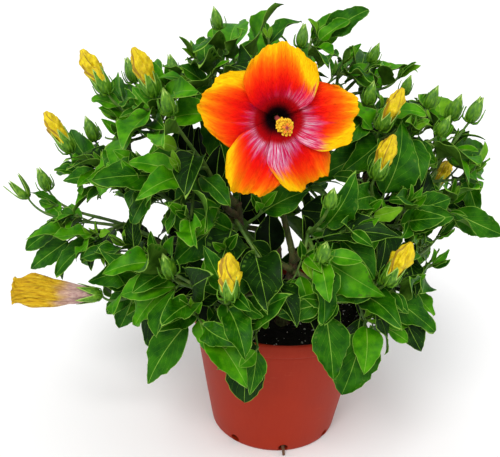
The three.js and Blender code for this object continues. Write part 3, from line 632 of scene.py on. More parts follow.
# The yellow comes furthest in on the clockwise side, which lay outside in the furled bud
side_glow = crepe.band(across, 0.1, 1.0) * petal_value("border")
late = (0.5 - petal_value("border")) * 0.34 * crepe.band(along, 0.35, 0.9)
glow = side_glow * crepe.band(along, 0.25, 0.75) - late
out = along + glow + (wide_ray - 0.5) * 0.26 + (rays - 0.5) * 0.16 + (mottle - 0.5) * 0.06
flame = crepe.ramp(out, (0.00, 150, 0, 14), (0.32, 188, 0, 22), (0.42, 220, 2, 10), (0.54, 236, 20, 0),
                   (0.66, 246, 56, 0), (0.77, 250, 96, 0), (0.87, 252, 142, 0), (1.0, 250, 198, 4))
pale_end = petal_value("pale_reach") + petal_value("pale_side") * across + (wide_ray - 0.5) * 0.5
pale_zone = (crepe.band(along + (rays - 0.5) * 0.12, 0.24, 0.33)
             * (1 - crepe.band(along + (rays - 0.5) * 0.7 - pale_end, -0.18, 0.04)))
pink = crepe.ramp(rays, (0.36, 200, 6, 76), (0.46, 216, 60, 124), (0.54, 212, 140, 172),
                  (0.64, 236, 212, 224))
blush = crepe.mix(petal_value("white") * crepe.band(rays, 0.28, 0.58), seen(214, 4, 60), pink)
petal_colour = crepe.mix(pale_zone * 0.94, flame, blush)
vein_red = crepe.mix(0.5, petal_colour, seen(196, 8, 0))
petal_colour = crepe.mix(veins * 0.34 * crepe.band(along, 0.2, 0.5), petal_colour, vein_red)
ring = 1 - crepe.band(along + (rays - 0.5) * 0.08, 0.21, 0.33)
throat = 1 - crepe.band(along + (rays - 0.5) * 0.06, 0.08, 0.24)
petal_colour = crepe.mix(throat, crepe.mix(ring * 0.88, petal_colour, seen(176, 0, 6)), seen(16, 0, 5))
crepe.relief(rays * 0.6 + mottle * 0.2 + veins * 0.2, 0.8)
crepe.surface(base_color=petal_colour, roughness=0.6 + 0.1 * mottle, specular_ior_level=0.07)

PETAL_MARKS = ("along", "across", "petal", "pale_reach", "pale_side", "white", "border")
petal_shape, marks, bake_places = Shape(), {mark: [] for mark in PETAL_MARKS}, []
v_grid, u_grid = np.meshgrid(np.linspace(0, 1, PETAL_ROWS), np.linspace(-1, 1, PETAL_COLUMNS), indexing="ij")
sheet = np.concatenate(sheet_faces(PETAL_ROWS, PETAL_COLUMNS))
flat = 0.03 + 0.94 * np.stack([(u_grid.ravel() + 1) / 2, v_grid.ravel()], -1)
for k, sizes in enumerate(PETALS.values()):
    layers = [petal_points(sizes, u_grid, v_grid, lift, k + 1.0) for lift in (0, -PETAL_THICKNESS)]
    petal_shape.add(np.concatenate(layers), sheet)
    for mark, value in zip(PETAL_MARKS, (v_grid, u_grid, k, *sizes[3:7])):
        marks[mark] += [np.broadcast_to(value, v_grid.shape).ravel()] * 2
    bake_places += [(flat + (k, layer)) / (len(PETALS), 2) for layer in (0, 1)]
petals = petal_shape.piece("bloom_petals", [crepe.material], "petal")
for mark, values in marks.items():
    borne = petals.data.attributes.new(mark, "FLOAT", "POINT")
    borne.data.foreach_set("value", np.concatenate(values).astype(np.float32))
# Each side of each petal has its own place on the map that a bake of the petals uses
corner_points = np.empty(len(petals.data.loops), int)
petals.data.loops.foreach_get("vertex_index", corner_points)
bake_map = petals.data.uv_layers.new(name="OFBake")
bake_map.data.foreach_set("uv", np.concatenate(bake_places)[corner_points].ravel().astype(np.float32))
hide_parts("bloom")


def across_bloom(turn):
    """The way straight out from the bloom's axis at a turn about it."""
    return (BLOOM_ACROSS * math.cos(turn) + BLOOM_UP * math.sin(turn)).normalized()


anther_yellow = mottled("anthers", 0.5, (232, 160, 10), (255, 222, 40), 0.85, depth=0.2)
column_pink = mottled("column", 3, (150, 10, 40), (226, 120, 110), 0.45, detail=2)
stigma_orange = mottled("stigma", 0.4, (226, 90, 10), (255, 160, 40), 0.9, detail=2, depth=0.2)
GOLDEN_TURN = math.radians(137.5)
ANTHERS = 74
ANTHERS_FROM = 0.64
ANTHERS_SHARE = 0.33
STIGMAS = 5
COLUMN_LENGTH = 56
column_shape, column_draw = Shape(), random.Random(11)
axis_points = [BLOOM_THROAT + BLOOM_AXIS * h for h in np.linspace(0, COLUMN_LENGTH, 20)]
limb(column_shape, axis_points, lambda t: 2.0 - 1.1 * t, 12, kind=1)
for k in range(ANTHERS):
    share = ANTHERS_FROM + ANTHERS_SHARE * (k + 0.5) / ANTHERS
    foot = BLOOM_THROAT + BLOOM_AXIS * COLUMN_LENGTH * share
    reach = column_draw.uniform(3.6, 5.4)
    tip = foot + across_bloom(k * GOLDEN_TURN) * reach + BLOOM_AXIS * column_draw.uniform(0.3, 2.4)
    limb(column_shape, [foot, foot.lerp(tip, 0.5) + BLOOM_AXIS * 0.3, tip], lambda t: 0.22, 4)
    lump(column_shape, tip, (1.15, 0.85, 0.8), column_draw)
for k in range(STIGMAS):
    foot = BLOOM_THROAT + BLOOM_AXIS * (COLUMN_LENGTH - 1)
    tip = foot + across_bloom(math.radians(72 * k + 20)) * 2.6 + BLOOM_AXIS * 3.0
    limb(column_shape, [foot, foot.lerp(tip, 0.6) + BLOOM_AXIS * 0.5, tip], lambda t: 0.35, 5, kind=1)
    lump(column_shape, tip, (1.2, 1.2, 1.0), column_draw, kind=2)
column_shape.piece("bloom_column", [anther_yellow, column_pink, stigma_orange], "petal")


# The calyxes are soft green cups of five pointed sepals with a ring of thin bracts under them. A green bud
# is one that is shut; a furled yellow bloom stands out of one that has opened, the spent bloom lies twisted
# in its own, and one is empty, its sepals spread.
SEPALS = 5
BRACTS = 7
CALYX_ROWS = 12
CALYX_WALL = 0.45
FURLED_ROWS = 34
FURLED_COLUMNS = 11
calyx_green = Finish("calyx")
down = calyx_green.spots(2.4, 3, stretch=(1, 1, 2))
calyx_green.relief(calyx_green.spots(0.7, 3), 0.12)
calyx_green.surface(
    base_color=calyx_green.ramp(down, (0.3, 48, 98, 6), (0.5, 78, 130, 10), (0.7, 112, 158, 28)),
    roughness=0.5 + 0.12 * down, specular_ior_level=0.35)
sepal_edge = mottled("sepal_edge", 2, (138, 178, 62), (172, 204, 100), 0.55, detail=2)
furled_yellow = Finish("furled_petal")
crumple = furled_yellow.spots(3.2, 4, stretch=(1, 1, 2), sharpness=0.6)
furled_yellow.relief(crumple, 0.8)
furled_yellow.surface(
    base_color=furled_yellow.ramp(crumple, (0.28, 176, 142, 0), (0.42, 208, 178, 0), (0.60, 226, 202, 2),
                                  (0.8, 240, 222, 30)),
    roughness=0.5 + 0.14 * crumple, specular_ior_level=0.35)
# The step where each furled petal laps over the next is painted a darker yellow, as painted shade in the
# crease
painted_crease_shade = mottled("petal_crease_painted_shade", 2.5, (136, 104, 2), (184, 146, 4), 0.6, depth=0.4)

SPENT_SPOT = Vector(BRANCHES["left_low"][3][0][:3])
SPENT_AIM = Vector((-0.985, -0.14, 0.07)).normalized()
SPENT_LILAC = 22
SPENT_YELLOW = 42
spent_ochre = Finish("spent_petal")
wrinkles = spent_ochre.spots(1.5, 4, stretch=(9, 1, 1), sharpness=0.65)
patches = spent_ochre.spots(9, 2, stretch=(3, 1, 1))
reach = spent_ochre.node("ShaderNodeVectorMath", {"operation": "DOT_PRODUCT"},
                         {0: spent_ochre.place(), 1: SPENT_AIM}, "Value")
reach = 1000 * reach - SPENT_AIM.dot(SPENT_SPOT)
yellowed = spent_ochre.band(reach + 26 * patches - 13, SPENT_LILAC, SPENT_YELLOW)
ochre = spent_ochre.ramp(wrinkles, (0.3, 150, 104, 4), (0.44, 192, 148, 8), (0.6, 214, 176, 20),
                         (0.75, 238, 212, 80))
lilac = spent_ochre.ramp(wrinkles, (0.3, 150, 108, 108), (0.44, 186, 146, 140), (0.6, 206, 172, 160),
                         (0.8, 222, 198, 180))
spent_ochre.relief(wrinkles, 1.5)
spent_ochre.surface(base_color=spent_ochre.mix(yellowed, lilac, ochre), roughness=0.62,
                    specular_ior_level=0.2)


def stand(points, spot, aim, turn=0.0):
    """Points round an upright axis, moved to a spot and aimed one way."""
    rotation = UP.rotation_difference(aim) @ Quaternion(UP, turn)
    return np.asarray(points) @ np.array(rotation.to_matrix()).T + np.array(spot)


def smooth_line(line, share):
    """The radius and height on a smooth curve through a line of points, at a share of its length."""
    at = np.clip(share, 0, 1) * (len(line) - 1)
    i = np.minimum(at.astype(int), len(line) - 2)
    f = (at - i)[..., None]
    p = np.array([line[0]] + list(line) + [line[-1]], float)
    a, b, c, d = p[i], p[i + 1], p[i + 2], p[i + 3]
    square, cube = 2 * a - 5 * b + 4 * c - d, 3 * b - a - 3 * c + d
    return 0.5 * (2 * b + (c - a) * f + square * f ** 2 + cube * f ** 3)


def calyx(shape, spot, aim, line, cut, size, turn, flare=0.0):
    """A cup along a line of radius and height, cut down between its sepals, with thin pale edges."""
    rows, sides = CALYX_ROWS, SEPALS * 8
    v, a = np.meshgrid(np.linspace(0, 1, rows), np.arange(sides) * 2 * math.pi / sides, indexing="ij")
    between = np.abs(((a * SEPALS / (2 * math.pi)) % 1) - 0.5) * 2
    full = 1 - cut * (1 - between ** 1.2)
    place = smooth_line(line, v * full)
    ridge = 1 + 0.07 * np.cos(a * SEPALS) * np.sin(math.pi * np.minimum(1, v * 1.1))
    layers = []
    for inset in (0.0, CALYX_WALL):
        r = np.maximum(0.25, place[..., 0] * ridge + flare * v ** 3 * between - inset) * size
        layers.append(stand(np.stack([r * np.cos(a), r * np.sin(a), place[..., 1] * size], -1).reshape(-1, 3),
                            spot, aim, turn))
    outer = quads(rows, sides, closed=True)
    inner = quads(rows, sides, closed=True, start=rows * sides, turned=True)
    top = (rows - 1) * sides
    ring = [(top + k, top + (k + 1) % sides) for k in range(sides)]
    rim = np.array([(p, q, q + rows * sides, p + rows * sides) for p, q in ring])
    pale = np.arange(len(outer)) >= (rows - 2) * sides
    kinds = np.concatenate([pale, np.zeros(len(inner)), np.ones(len(rim))]).astype(int)
    shape.add(np.concatenate(layers), np.concatenate([outer, inner, rim]), kinds)


def bracts(shape, spot, aim, size):
    """A ring of thin bracts that come out under a calyx and hook upwards."""
    for k in range(BRACTS):
        turn = 2 * math.pi * (k + flower_draw.uniform(-0.2, 0.2)) / BRACTS
        reach, rise = flower_draw.uniform(0.85, 1.15), flower_draw.uniform(0.8, 1.25)
        line = [(1.2, 0.2), (3.6 * reach, 0.1), (6.2 * reach, 1.8 * rise), (7.2 * reach, 6 * rise),
                (6.9 * reach, 12 * rise)]
        run = [(r * size * math.cos(turn), r * size * math.sin(turn), h * size) for r, h in line]
        limb(shape, stand(run, spot, aim), lambda t: (1.1 - 0.75 * t) * size, 5)


def furled(shape, spot, aim, line, size, turn, twist, fold, pleat=0.0, crush_by=1.0):
    """Petals rolled round each other along a line of radius and height, and crumpled.

    The grid turns with the roll, so that a fold runs along a column. Kinds: 0 the petal, 1 its edge where it
    laps over the next, which is darker as painted crease shade.
    """
    rows, sides = FURLED_ROWS, SEPALS * FURLED_COLUMNS
    v, a = np.meshgrid(np.linspace(0, 1, rows), np.arange(sides) * 2 * math.pi / sides, indexing="ij")
    place = smooth_line(line, v)
    lap = np.tile((np.arange(sides) % FURLED_COLUMNS) / FURLED_COLUMNS, (rows, 1))
    around = a - twist * v - 0.2 * np.sin(v * 7 + turn)
    shift = flower_draw.uniform(0, 50)

    def crumple(round_scale, long_scale):
        """Dents and swells, so many to its girth and to its length."""
        spots = np.stack([np.cos(around) * round_scale + shift, np.sin(around) * round_scale,
                          v * long_scale], -1).reshape(-1, 3)
        return crush_by * np.array([noise.noise(Vector(p)) for p in spots]).reshape(v.shape)

    dent, crush = crumple(1.3, 3.0), crumple(3.4, 7.0)
    body = np.sin(math.pi * v)
    ripple = pleat * np.sin(a * 13 + 2.5 * dent) + 0.6 * pleat * np.sin(a * 22 - 3 * crush)
    swell = 1 + fold * (lap - 0.5) + body * (0.4 * dent + 0.34 * crush) + body ** 0.3 * ripple
    r = np.maximum(0.15, place[..., 0] * swell) * size
    h = (place[..., 1] + 2.2 * crush * body) * size
    points = stand(np.stack([r * np.cos(around), r * np.sin(around), h], -1).reshape(-1, 3), spot, aim, turn)
    shape.add(points, tube_faces(rows, sides), np.append(np.where(lap[:-1] > 0.85, 1, 0), [0, 0]))


# Lines of radius and height: the shut calyx, the open calyx, the furled bloom, and the spent bloom's two
GREEN_LINE = [(1.0, -1.5), (1.7, 0), (4.0, 1.8), (5.3, 5.5), (5.2, 10), (3.7, 15), (1.6, 19), (0.35, 22)]
CUP_LINE = [(1.0, -1.5), (1.7, 0), (4.2, 1.5), (5.9, 5), (6.4, 9.5), (6.2, 14), (6.1, 18.5), (5.6, 22)]
FURLED_LINE = [(2.0, 3), (5.2, 8), (5.6, 14), (6.3, 21), (6.0, 26), (4.4, 31), (2.8, 35), (1.5, 37.5)]
SPENT_CUP_LINE = [(1.0, -1.5), (1.9, 0), (4.6, 2), (6.4, 6), (7.2, 11), (8.2, 16), (9.0, 21)]
SPENT_LINE = [(3.0, 4), (6.2, 13), (7.8, 20), (9.4, 27), (10.8, 35), (12.0, 44), (12.6, 52), (12.1, 60),
              (11.1, 66), (10.1, 70), (10.3, 72), (8.7, 72.8), (6.8, 70), (5.0, 67)]
calyx_shape, furled_shape, spent_shape = Shape(), Shape(), Shape()
flower_draw = random.Random(23)
flower_middles = []


def flower(kind, spot, heading):
    """A flower that is not open, at the end of its stalk."""
    turn = flower_draw.uniform(0, 2 * math.pi)
    out = level_out(spot)
    middles = [spot + UP * 8]
    if kind == "green":
        aim = (out * 0.25 + UP * 0.9 + heading * 0.3).normalized()
        size = bract_size = flower_draw.uniform(0.8, 1.12)
        line, cut, flare = GREEN_LINE, 0.16, flower_draw.choice((0, 0, 1.4))
    elif kind == "cup":
        aim = (out * 0.7 + UP * 0.8).normalized()
        line, cut, flare, size, bract_size = CUP_LINE, 0.62, 4.0, 1.05, 0.6
    elif kind == "closed":
        aim = (Vector((out.x * 0.45, out.y * 0.1, 0.9)) + heading * 0.25).normalized()
        size = bract_size = flower_draw.uniform(1.0, 1.12)
        line, cut, flare = CUP_LINE, 0.42, 0.5
        middles.append(spot + UP * 22)
    else:
        aim = SPENT_AIM
        line, cut, flare, size, bract_size = SPENT_CUP_LINE, 0.5, 0.6, 1.0, 0.85
        middles = [spot + SPENT_AIM * 8, spot + SPENT_AIM * 24]
    flower_middles.extend(middles)
    calyx(calyx_shape, spot, aim, line, cut, size, turn, flare)
    bracts(calyx_shape, spot, aim, bract_size)
    if kind == "closed":
        furled(furled_shape, spot, aim, FURLED_LINE, size, turn, 1.5, 0.30)
    elif kind == "spent":
        furled(spent_shape, spot, aim, SPENT_LINE, size, turn, 0.7, 0.12, pleat=0.06, crush_by=0.65)


# The open bloom's own
BLOOM_FOOT = BLOOM_THROAT - BLOOM_AXIS * 21
calyx(calyx_shape, BLOOM_FOOT, BLOOM_AXIS, CUP_LINE, 0.42, 1.12, 0.3, flare=1.0)
bracts(calyx_shape, BLOOM_FOOT, BLOOM_AXIS, 1.15)


# The twigs are green shoots, round and a little knobbly, that part from a stem inside each mass of foliage.
# Finer side shoots leave them, and thin stalks carry their leaves and flowers.
FIRST_SEED = 101
LEAF_LENGTH = 48
LEAF_WIDTH = 29
LEAF_GAP = 13.2
PETIOLE_SHARE = 0.2
# The share of a twig below its first leaf, and the share that may bear leaves
FIRST_LEAF = 0.14
LEAFY_SHARE = 0.86
FLOWER_STALK_SHARE = 0.25
FINE_STEPS = 36
TWIG_SIDES = 8
# The light that the leaves turn to, from the front and above
LIGHT = Vector((0, -0.6, 0.8))


def random_from(seed):
    """The same repeatable random numbers, from 0 to 1, as in the source of the solids."""
    state = seed & 0xffffffff

    def draw():
        """The next number."""
        nonlocal state
        state = (state + 0x6d2b79f5) & 0xffffffff
        t = ((state ^ (state >> 15)) * (state | 1)) & 0xffffffff
        t ^= (t + (((t ^ (t >> 7)) * (t | 61)) & 0xffffffff)) & 0xffffffff
        return ((t ^ (t >> 14)) & 0xffffffff) / 4294967296
    return draw


def twig_corners(hub, heading, end):
    """The four corners of a twig's curve."""
    reach = (end - hub).length
    out = ((end - hub).normalized() * 0.7 + heading * 0.5).normalized()
    lift = (UP + level_out(end) * 0.55).normalized()
    return hub, hub + out * reach * 0.4, end - lift * reach * 0.3, end


def outward_at(place):
    """The way out of the crown at a place."""
    return Vector((place.x - CROWN_CENTRE.x, place.y - CROWN_CENTRE.y,
                   (place.z - CROWN_CENTRE.z) * 0.6)).normalized()


def leaves_of(run, fine, draw, bare, gap=LEAF_GAP, scale=1.0, fewest=4):
    """The rule for a twig's leaves: one after another round it, leaning out and down, smaller at its tip.

    Its coarse run gives their number and their headings, and its fine run the places where they stand.
    """
    reach = float(np.linalg.norm(run[-1] - run[0]))
    count = max(fewest, round(reach * (1 - bare) / gap))
    first = draw() * 2 * math.pi
    leaves = []
    for i in range(count):
        t = FIRST_LEAF + (LEAFY_SHARE - bare) * (i + 0.5) / count
        heading = along_run(run, t)[1]
        spot = along_run(fine, t)[0]
        across = heading.cross(UP).normalized()
        radial = Quaternion(heading, first + i * GOLDEN_TURN) @ across
        open_by = math.radians(78 - 48 * t + 14 * (draw() - 0.5))
        outward = outward_at(spot)
        along = (radial * math.sin(open_by) + heading * math.cos(open_by) + outward * 0.35
                 + UP * (-0.15 - 0.35 * draw())).normalized()
        face = LIGHT * 0.8 + outward * 0.5 + across * 0.5 * (draw() - 0.5)
        young = 1 - 0.42 * max(0, (t - 0.55) / 0.45)
        length = LEAF_LENGTH * young * (0.82 + 0.36 * draw()) * scale
        leaves.append({"root": spot, "along": along, "face": face, "length": length, "t": t,
                       "width": length * (LEAF_WIDTH / LEAF_LENGTH) * (0.9 + 0.25 * draw()),
                       "bend": 0.1 + 0.25 * draw(), "fold": 0.15 + 0.4 * draw()})
    return leaves


shoot_green = Finish("green_shoot")
tender = shoot_green.spots(6, 3)
shoot_green.relief(shoot_green.spots(0.8, 3, stretch=(1, 1, 3)), 0.12)
shoot_green.surface(
    base_color=shoot_green.ramp(tender, (0.3, 52, 88, 18), (0.5, 74, 112, 26), (0.7, 104, 128, 48)),
    roughness=0.55 + 0.1 * tender)
twig_shape, stalk_shape = Shape(), Shape()
masses = {}
for name, (stem, share, to, twigs) in BRANCHES.items():
    heading = along_run(boughs[name], 1)[1]
    tip = Vector(boughs[name][-1])
    foot, crown = tip - heading * 1.0, tip + heading * 28
    base = tip + heading * 0.3
    inner_stem = [foot, tip, foot.lerp(crown, 0.5), crown - heading * 3, crown]
    limb(twig_shape, inner_stem, lambda t: 2.1 - 0.5 * t, 10)
    runs, middle = [], crown.copy()
    for i, (x, y, z, *kind) in enumerate(twigs):
        end = Vector((x, y, z))
        fork = base.lerp(crown, 0.25 + 0.67 * i / (len(twigs) - 1))
        corners = twig_corners(fork, heading, end)
        run, fine = bezier(corners, 3), bezier(corners, FINE_STEPS)
        limb(twig_shape, fine, lambda t: 1.65 - (0.75 * t ** 2 if kind else 0.7 * t), TWIG_SIDES,
             relief=bark_relief((end - fork).length, LEAF_GAP))
        if kind:
            flower(kind[0], end, along_run(run, 1)[1])
        runs.append((run, fine, FLOWER_STALK_SHARE if kind else 0.0))
        middle += end
    masses[name] = (runs, middle / (len(twigs) + 1))

# The stalk behind the open bloom
tip, heading = Vector(boughs["bloom"][-1]), along_run(boughs["bloom"], 1)[1]
stalk = (tip - heading, tip + heading * 14, BLOOM_THROAT - BLOOM_AXIS * 34, BLOOM_THROAT - BLOOM_AXIS * 20)
limb(twig_shape, bezier(stalk, 16), lambda t: 2.1 - 0.6 * t, 10)


# The leaves are glossy ovate blades, thin and leathery, folded a little along a pale midrib, with fine side
# veins and a pale edge. Each stands on its own stalk, and turns aside where another is in its way.
EDGE_WIDTH = 0.45
RIB_WIDTH = 0.42
BLADE_THICKNESS = 0.4
SMALL_BLADE = 26
# Where the columns of a blade's grid lie between its rib and its edge, and its number of rows
LARGE_GRID = ((0.3, 0.62), 17)
SMALL_GRID = ((0.5,), 9)
VEIN_STARTS = (0.04, 0.2, 0.36, 0.52)
VEIN_SLOPE = 0.5
VEIN_LIFT = 0.34
VEIN_POINTS = 5
# The coarser grid by which a leaf is tried against its neighbours
TRIED_SHARES = (0.0, 0.14, 0.28, 0.42, 0.56, 0.7, 0.85, 1.0)
TRIED_PARTS = (-1.0, -0.5, 0.0, 0.5, 1.0)
TRIED_GRID = np.meshgrid(TRIED_SHARES, TRIED_PARTS, indexing="ij")
TRIED_FACES = quads(len(TRIED_SHARES), len(TRIED_PARTS)).tolist()
ROLL_SPREAD = math.radians(26)
CHOSEN_ROLL_SPREAD = 0.1
LEAN_TRIES = [(turn, tilt) for turn in (0, 16, -16, 32, -32, 48, -48) for tilt in (0, 16, -16)]
SIZE_TRIES = (1, 0.84, 0.68)
SPACE_SLACK = 22
BLOOM_CLEAR = 57
FLOWER_CLEAR = 8
FLOWER_AHEAD = 90
SHOWN_AHEAD = 300
TO_VIEWER = Vector((0, -0.8, 0.55))
# Where the photograph was taken. Leaves keep out of its view of the soil and the stems, each place with a
# radius, and out of the gaps where the sky shows: across and height where the view crosses the upright plane
# through the pot's middle, and radius.
EYE = np.array((0, -626, 463.5))
SHOWN_PLACES = [(x, -65 + abs(x) / 8, 117, 7) for x in (-11, 0, 11, 22)]
SHOWN_PLACES += [(2, -30, 118, 6), (68, 2, 118, 7)]
SHOWN_PLACES += [(-37, -8, z, 8) for z in (212, 226)] + [(9, -48, z, 7) for z in (184, 198, 212)]
SKY_GAPS = [
    (-184, 298, 16), (-101, 357, 13), (-80, 375, 8), (-156, 207, 14), (-228, 199, 10), (-199, 223, 10),
    (-180, 84, 21), (-142, 67, 10), (-91, 38, 11), (-76, 58, 7), (121, 76, 12), (110, 30, 13), (153, 188, 19),
    (158, 152, 14), (85, 371, 14), (98, 337, 10), (79, 331, 6), (42, 364, 5), (-124, 358, 6), (-136, 352, 10),
    (-122, 201, 6), (181, 240, 10), (-175, 198, 9), (-190, 141, 10), (142, 203, 9), (158, 102, 8),
    (-160, 279, 7), (176, 273, 8), (-175, 110, 8), (116, 297, 5), (132, 258, 6), (180, 253, 9),
    (-130, 273, 8), (-112, 214, 6), (-158, 291, 6), (27, 335, 4), (-85, 82, 5), (-70, 110, 5), (138, 293, 3),
    (-172, 150, 6), (36, 341, 5), (50, 333, 5), (151, 131, 6),
]


def leaf_axes(leaf):
    """The ways across a leaf and up from its face."""
    side = leaf["face"].cross(leaf["along"]).normalized()
    return side, leaf["along"].cross(side).normalized()


def own_shape(leaf):
    """Draws what makes a leaf's blade its own: its outline, waves, curl, teeth and sway."""
    plain = leaf["length"] < SMALL_BLADE or leaf.get("inside", False)
    calm = 0.4 if plain else 1.0
    draw = leaf_draw.uniform
    return dict(leaf, plain=plain, belly=draw(0.78, 1.0), point=draw(-0.12, 0.3), phase=draw(0, 2 * math.pi),
                waves=draw(0.9, 2.2), wave=draw(0.06, 0.18) * calm, curl=draw(-0.05, 0.42) * calm,
                scallop=draw(0.01, 0.05) * calm, tooth=draw(0.04, 0.1) * calm, sway=draw(-0.14, 0.14))


def row_places(rows):
    """Where the rows of a blade's grid lie along it, closer together at its ends."""
    even = np.linspace(0, 1, rows)
    return 0.5 * even + 0.25 * (1 - np.cos(math.pi * even))


def half_width(leaf, share):
    """Half a blade's width at a share of its length."""
    share = np.clip(share, 0, 1)
    closing = np.clip((share - 0.5) / 0.5, 0, 1)
    oval = np.sin(math.pi * share ** leaf["belly"]) ** 0.72
    return 0.5 * leaf["width"] * oval * (1 - leaf["point"] * closing * closing * (3 - 2 * closing))


def on_blade(leaf, share, part, lift=0.0):
    """Points of a blade: share runs from its stalk to its tip, and part from edge to edge, 0 on the rib."""
    side, up = (np.array(axis) for axis in leaf_axes(leaf))
    length, width, rows = leaf["length"], leaf["width"], LARGE_GRID[1]
    # The teeth stand on every other row of the large grid, and fade out inwards
    teeth = np.interp(share, row_places(rows), np.arange(rows) % 2) * np.abs(part) ** 6
    jagged = leaf["scallop"] * np.sin(share * 26 + leaf["phase"]) - leaf["tooth"] * teeth
    half = half_width(leaf, share) * (1 + jagged * np.clip((share - 0.25) * 4, 0, 1))
    spread = part * np.maximum(0.3, half)
    rise = np.abs(spread) * math.sin(leaf["fold"]) * (0.6 + 0.4 * np.abs(part))
    quilt = 0.16 * np.sin(math.pi * (share - VEIN_SLOPE * np.abs(part) - VEIN_STARTS[0]) / 0.16) ** 2
    turn = 2 * math.pi * leaf["waves"] * share + leaf["phase"] + 1.9 * np.sign(part)
    wavy = leaf["wave"] * width * part ** 2 * np.sin(turn)
    drop = (leaf["bend"] * share ** 2 + 0.6 * leaf["curl"] * share ** 4) * length
    run = (PETIOLE_SHARE + share) * length
    x = spread * math.cos(leaf["fold"]) + leaf["sway"] * length * share ** 2
    z = rise + quilt * 4 * np.abs(part) * (1 - np.abs(part)) + wavy - drop + lift
    place = np.array(leaf["root"]) + run[..., None] * np.array(leaf["along"])
    return place + x[..., None] * side + z[..., None] * up


# What the leaves keep off: the flowers, the pot, the soil, the stems and the boughs
solid_trees = [shape.tree() for shape in (petal_shape, calyx_shape, furled_shape, spent_shape)]
for name in ["pot", "soil", *STEMS, *("bough_" + bough for bough in boughs)]:
    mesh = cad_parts[name].data
    corners = [v.co * 1000 for v in mesh.vertices]
    solid_trees.append(BVHTree.FromPolygons(corners, [list(p.vertices) for p in mesh.polygons]))
placed_leaves, placed_centres, placed_reach = [], np.zeros((0, 3)), np.zeros(0)
leaf_draw = random.Random(31)


def fits(leaf):
    """Whether a leaf's coarse grid touches nothing that is in place. If so, it is put in place."""
    global placed_centres, placed_reach
    points = leaf["points"]
    tree = BVHTree.FromPolygons(points.tolist(), TRIED_FACES)
    centre = points.mean(0)
    reach = np.linalg.norm(points - centre, axis=1).max()
    if any(tree.overlap(other) for other in solid_trees):
        return False
    near = np.linalg.norm(placed_centres - centre, axis=1) < placed_reach + reach
    if any(tree.overlap(placed_leaves[i]) for i in np.flatnonzero(near)):
        return False
    placed_leaves.append(tree)
    placed_centres = np.vstack([placed_centres, centre])
    placed_reach = np.append(placed_reach, reach)
    return True


# Places that are to be seen: where each is, how wide and how far ahead it is kept clear, and which way
seen_places = np.array([(*BLOOM_THROAT, BLOOM_CLEAR, math.inf)]
                       + [(*middle, FLOWER_CLEAR, FLOWER_AHEAD) for middle in flower_middles]
                       + [(*place, SHOWN_AHEAD) for place in SHOWN_PLACES])
seen_ways = EYE - seen_places[:, :3]
seen_ways[0] = BLOOM_AXIS
seen_ways = seen_ways / np.linalg.norm(seen_ways, axis=1)[:, None]
sky_gaps = np.array(SKY_GAPS, float)


def in_the_way(points):
    """Whether any of the points hides the open bloom, a flower or a place that shows, or fills a sky gap."""
    apart = points[:, None, :] - seen_places[:, :3]
    ahead = (apart * seen_ways).sum(-1)
    beside = np.linalg.norm(apart - ahead[..., None] * seen_ways, axis=-1)
    if np.any((ahead > 0) & (ahead < seen_places[:, 4]) & (beside < seen_places[:, 3])):
        return True
    crossing = EYE + (points - EYE) * (-EYE[1] / (points[:, 1] - EYE[1]))[:, None]
    apart = np.hypot(crossing[:, 0, None] - sky_gaps[:, 0], crossing[:, 2, None] - sky_gaps[:, 1])
    return bool(np.any(apart < sky_gaps[:, 2]))


def settle(leaf, name):
    """Turns or shrinks a leaf until it keeps to its mass's space and fits. None if it never does.

    A leaf that was chosen and listed may lean into another mass.
    """
    _, middle = masses[name]
    chosen = "chosen" in leaf
    others = [] if chosen else [m for other, (_, m) in masses.items() if other != name]
    leaf = own_shape(leaf)
    roll = leaf_draw.gauss(0, CHOSEN_ROLL_SPREAD if chosen else ROLL_SPREAD)
    face = Quaternion(leaf["along"], roll) @ leaf["face"].normalized()
    level = leaf["along"].cross(UP).normalized()
    for size in SIZE_TRIES:
        for turn, tilt in LEAN_TRIES:
            tried = dict(leaf, face=face, length=leaf["length"] * size, width=leaf["width"] * size)
            tried["along"] = (Quaternion(UP, math.radians(turn)) @ Quaternion(level, math.radians(tilt))
                              @ leaf["along"]).normalized()
            tip = leaf["root"] + tried["along"] * tried["length"] * (1 + PETIOLE_SHARE)
            own = (tip - middle).length - SPACE_SLACK
            if any((tip - other).length < own for other in others):
                continue
            tried["points"] = on_blade(tried, *TRIED_GRID).reshape(-1, 3)
            if not in_the_way(tried["points"]) and fits(tried):
                return tried
    return None


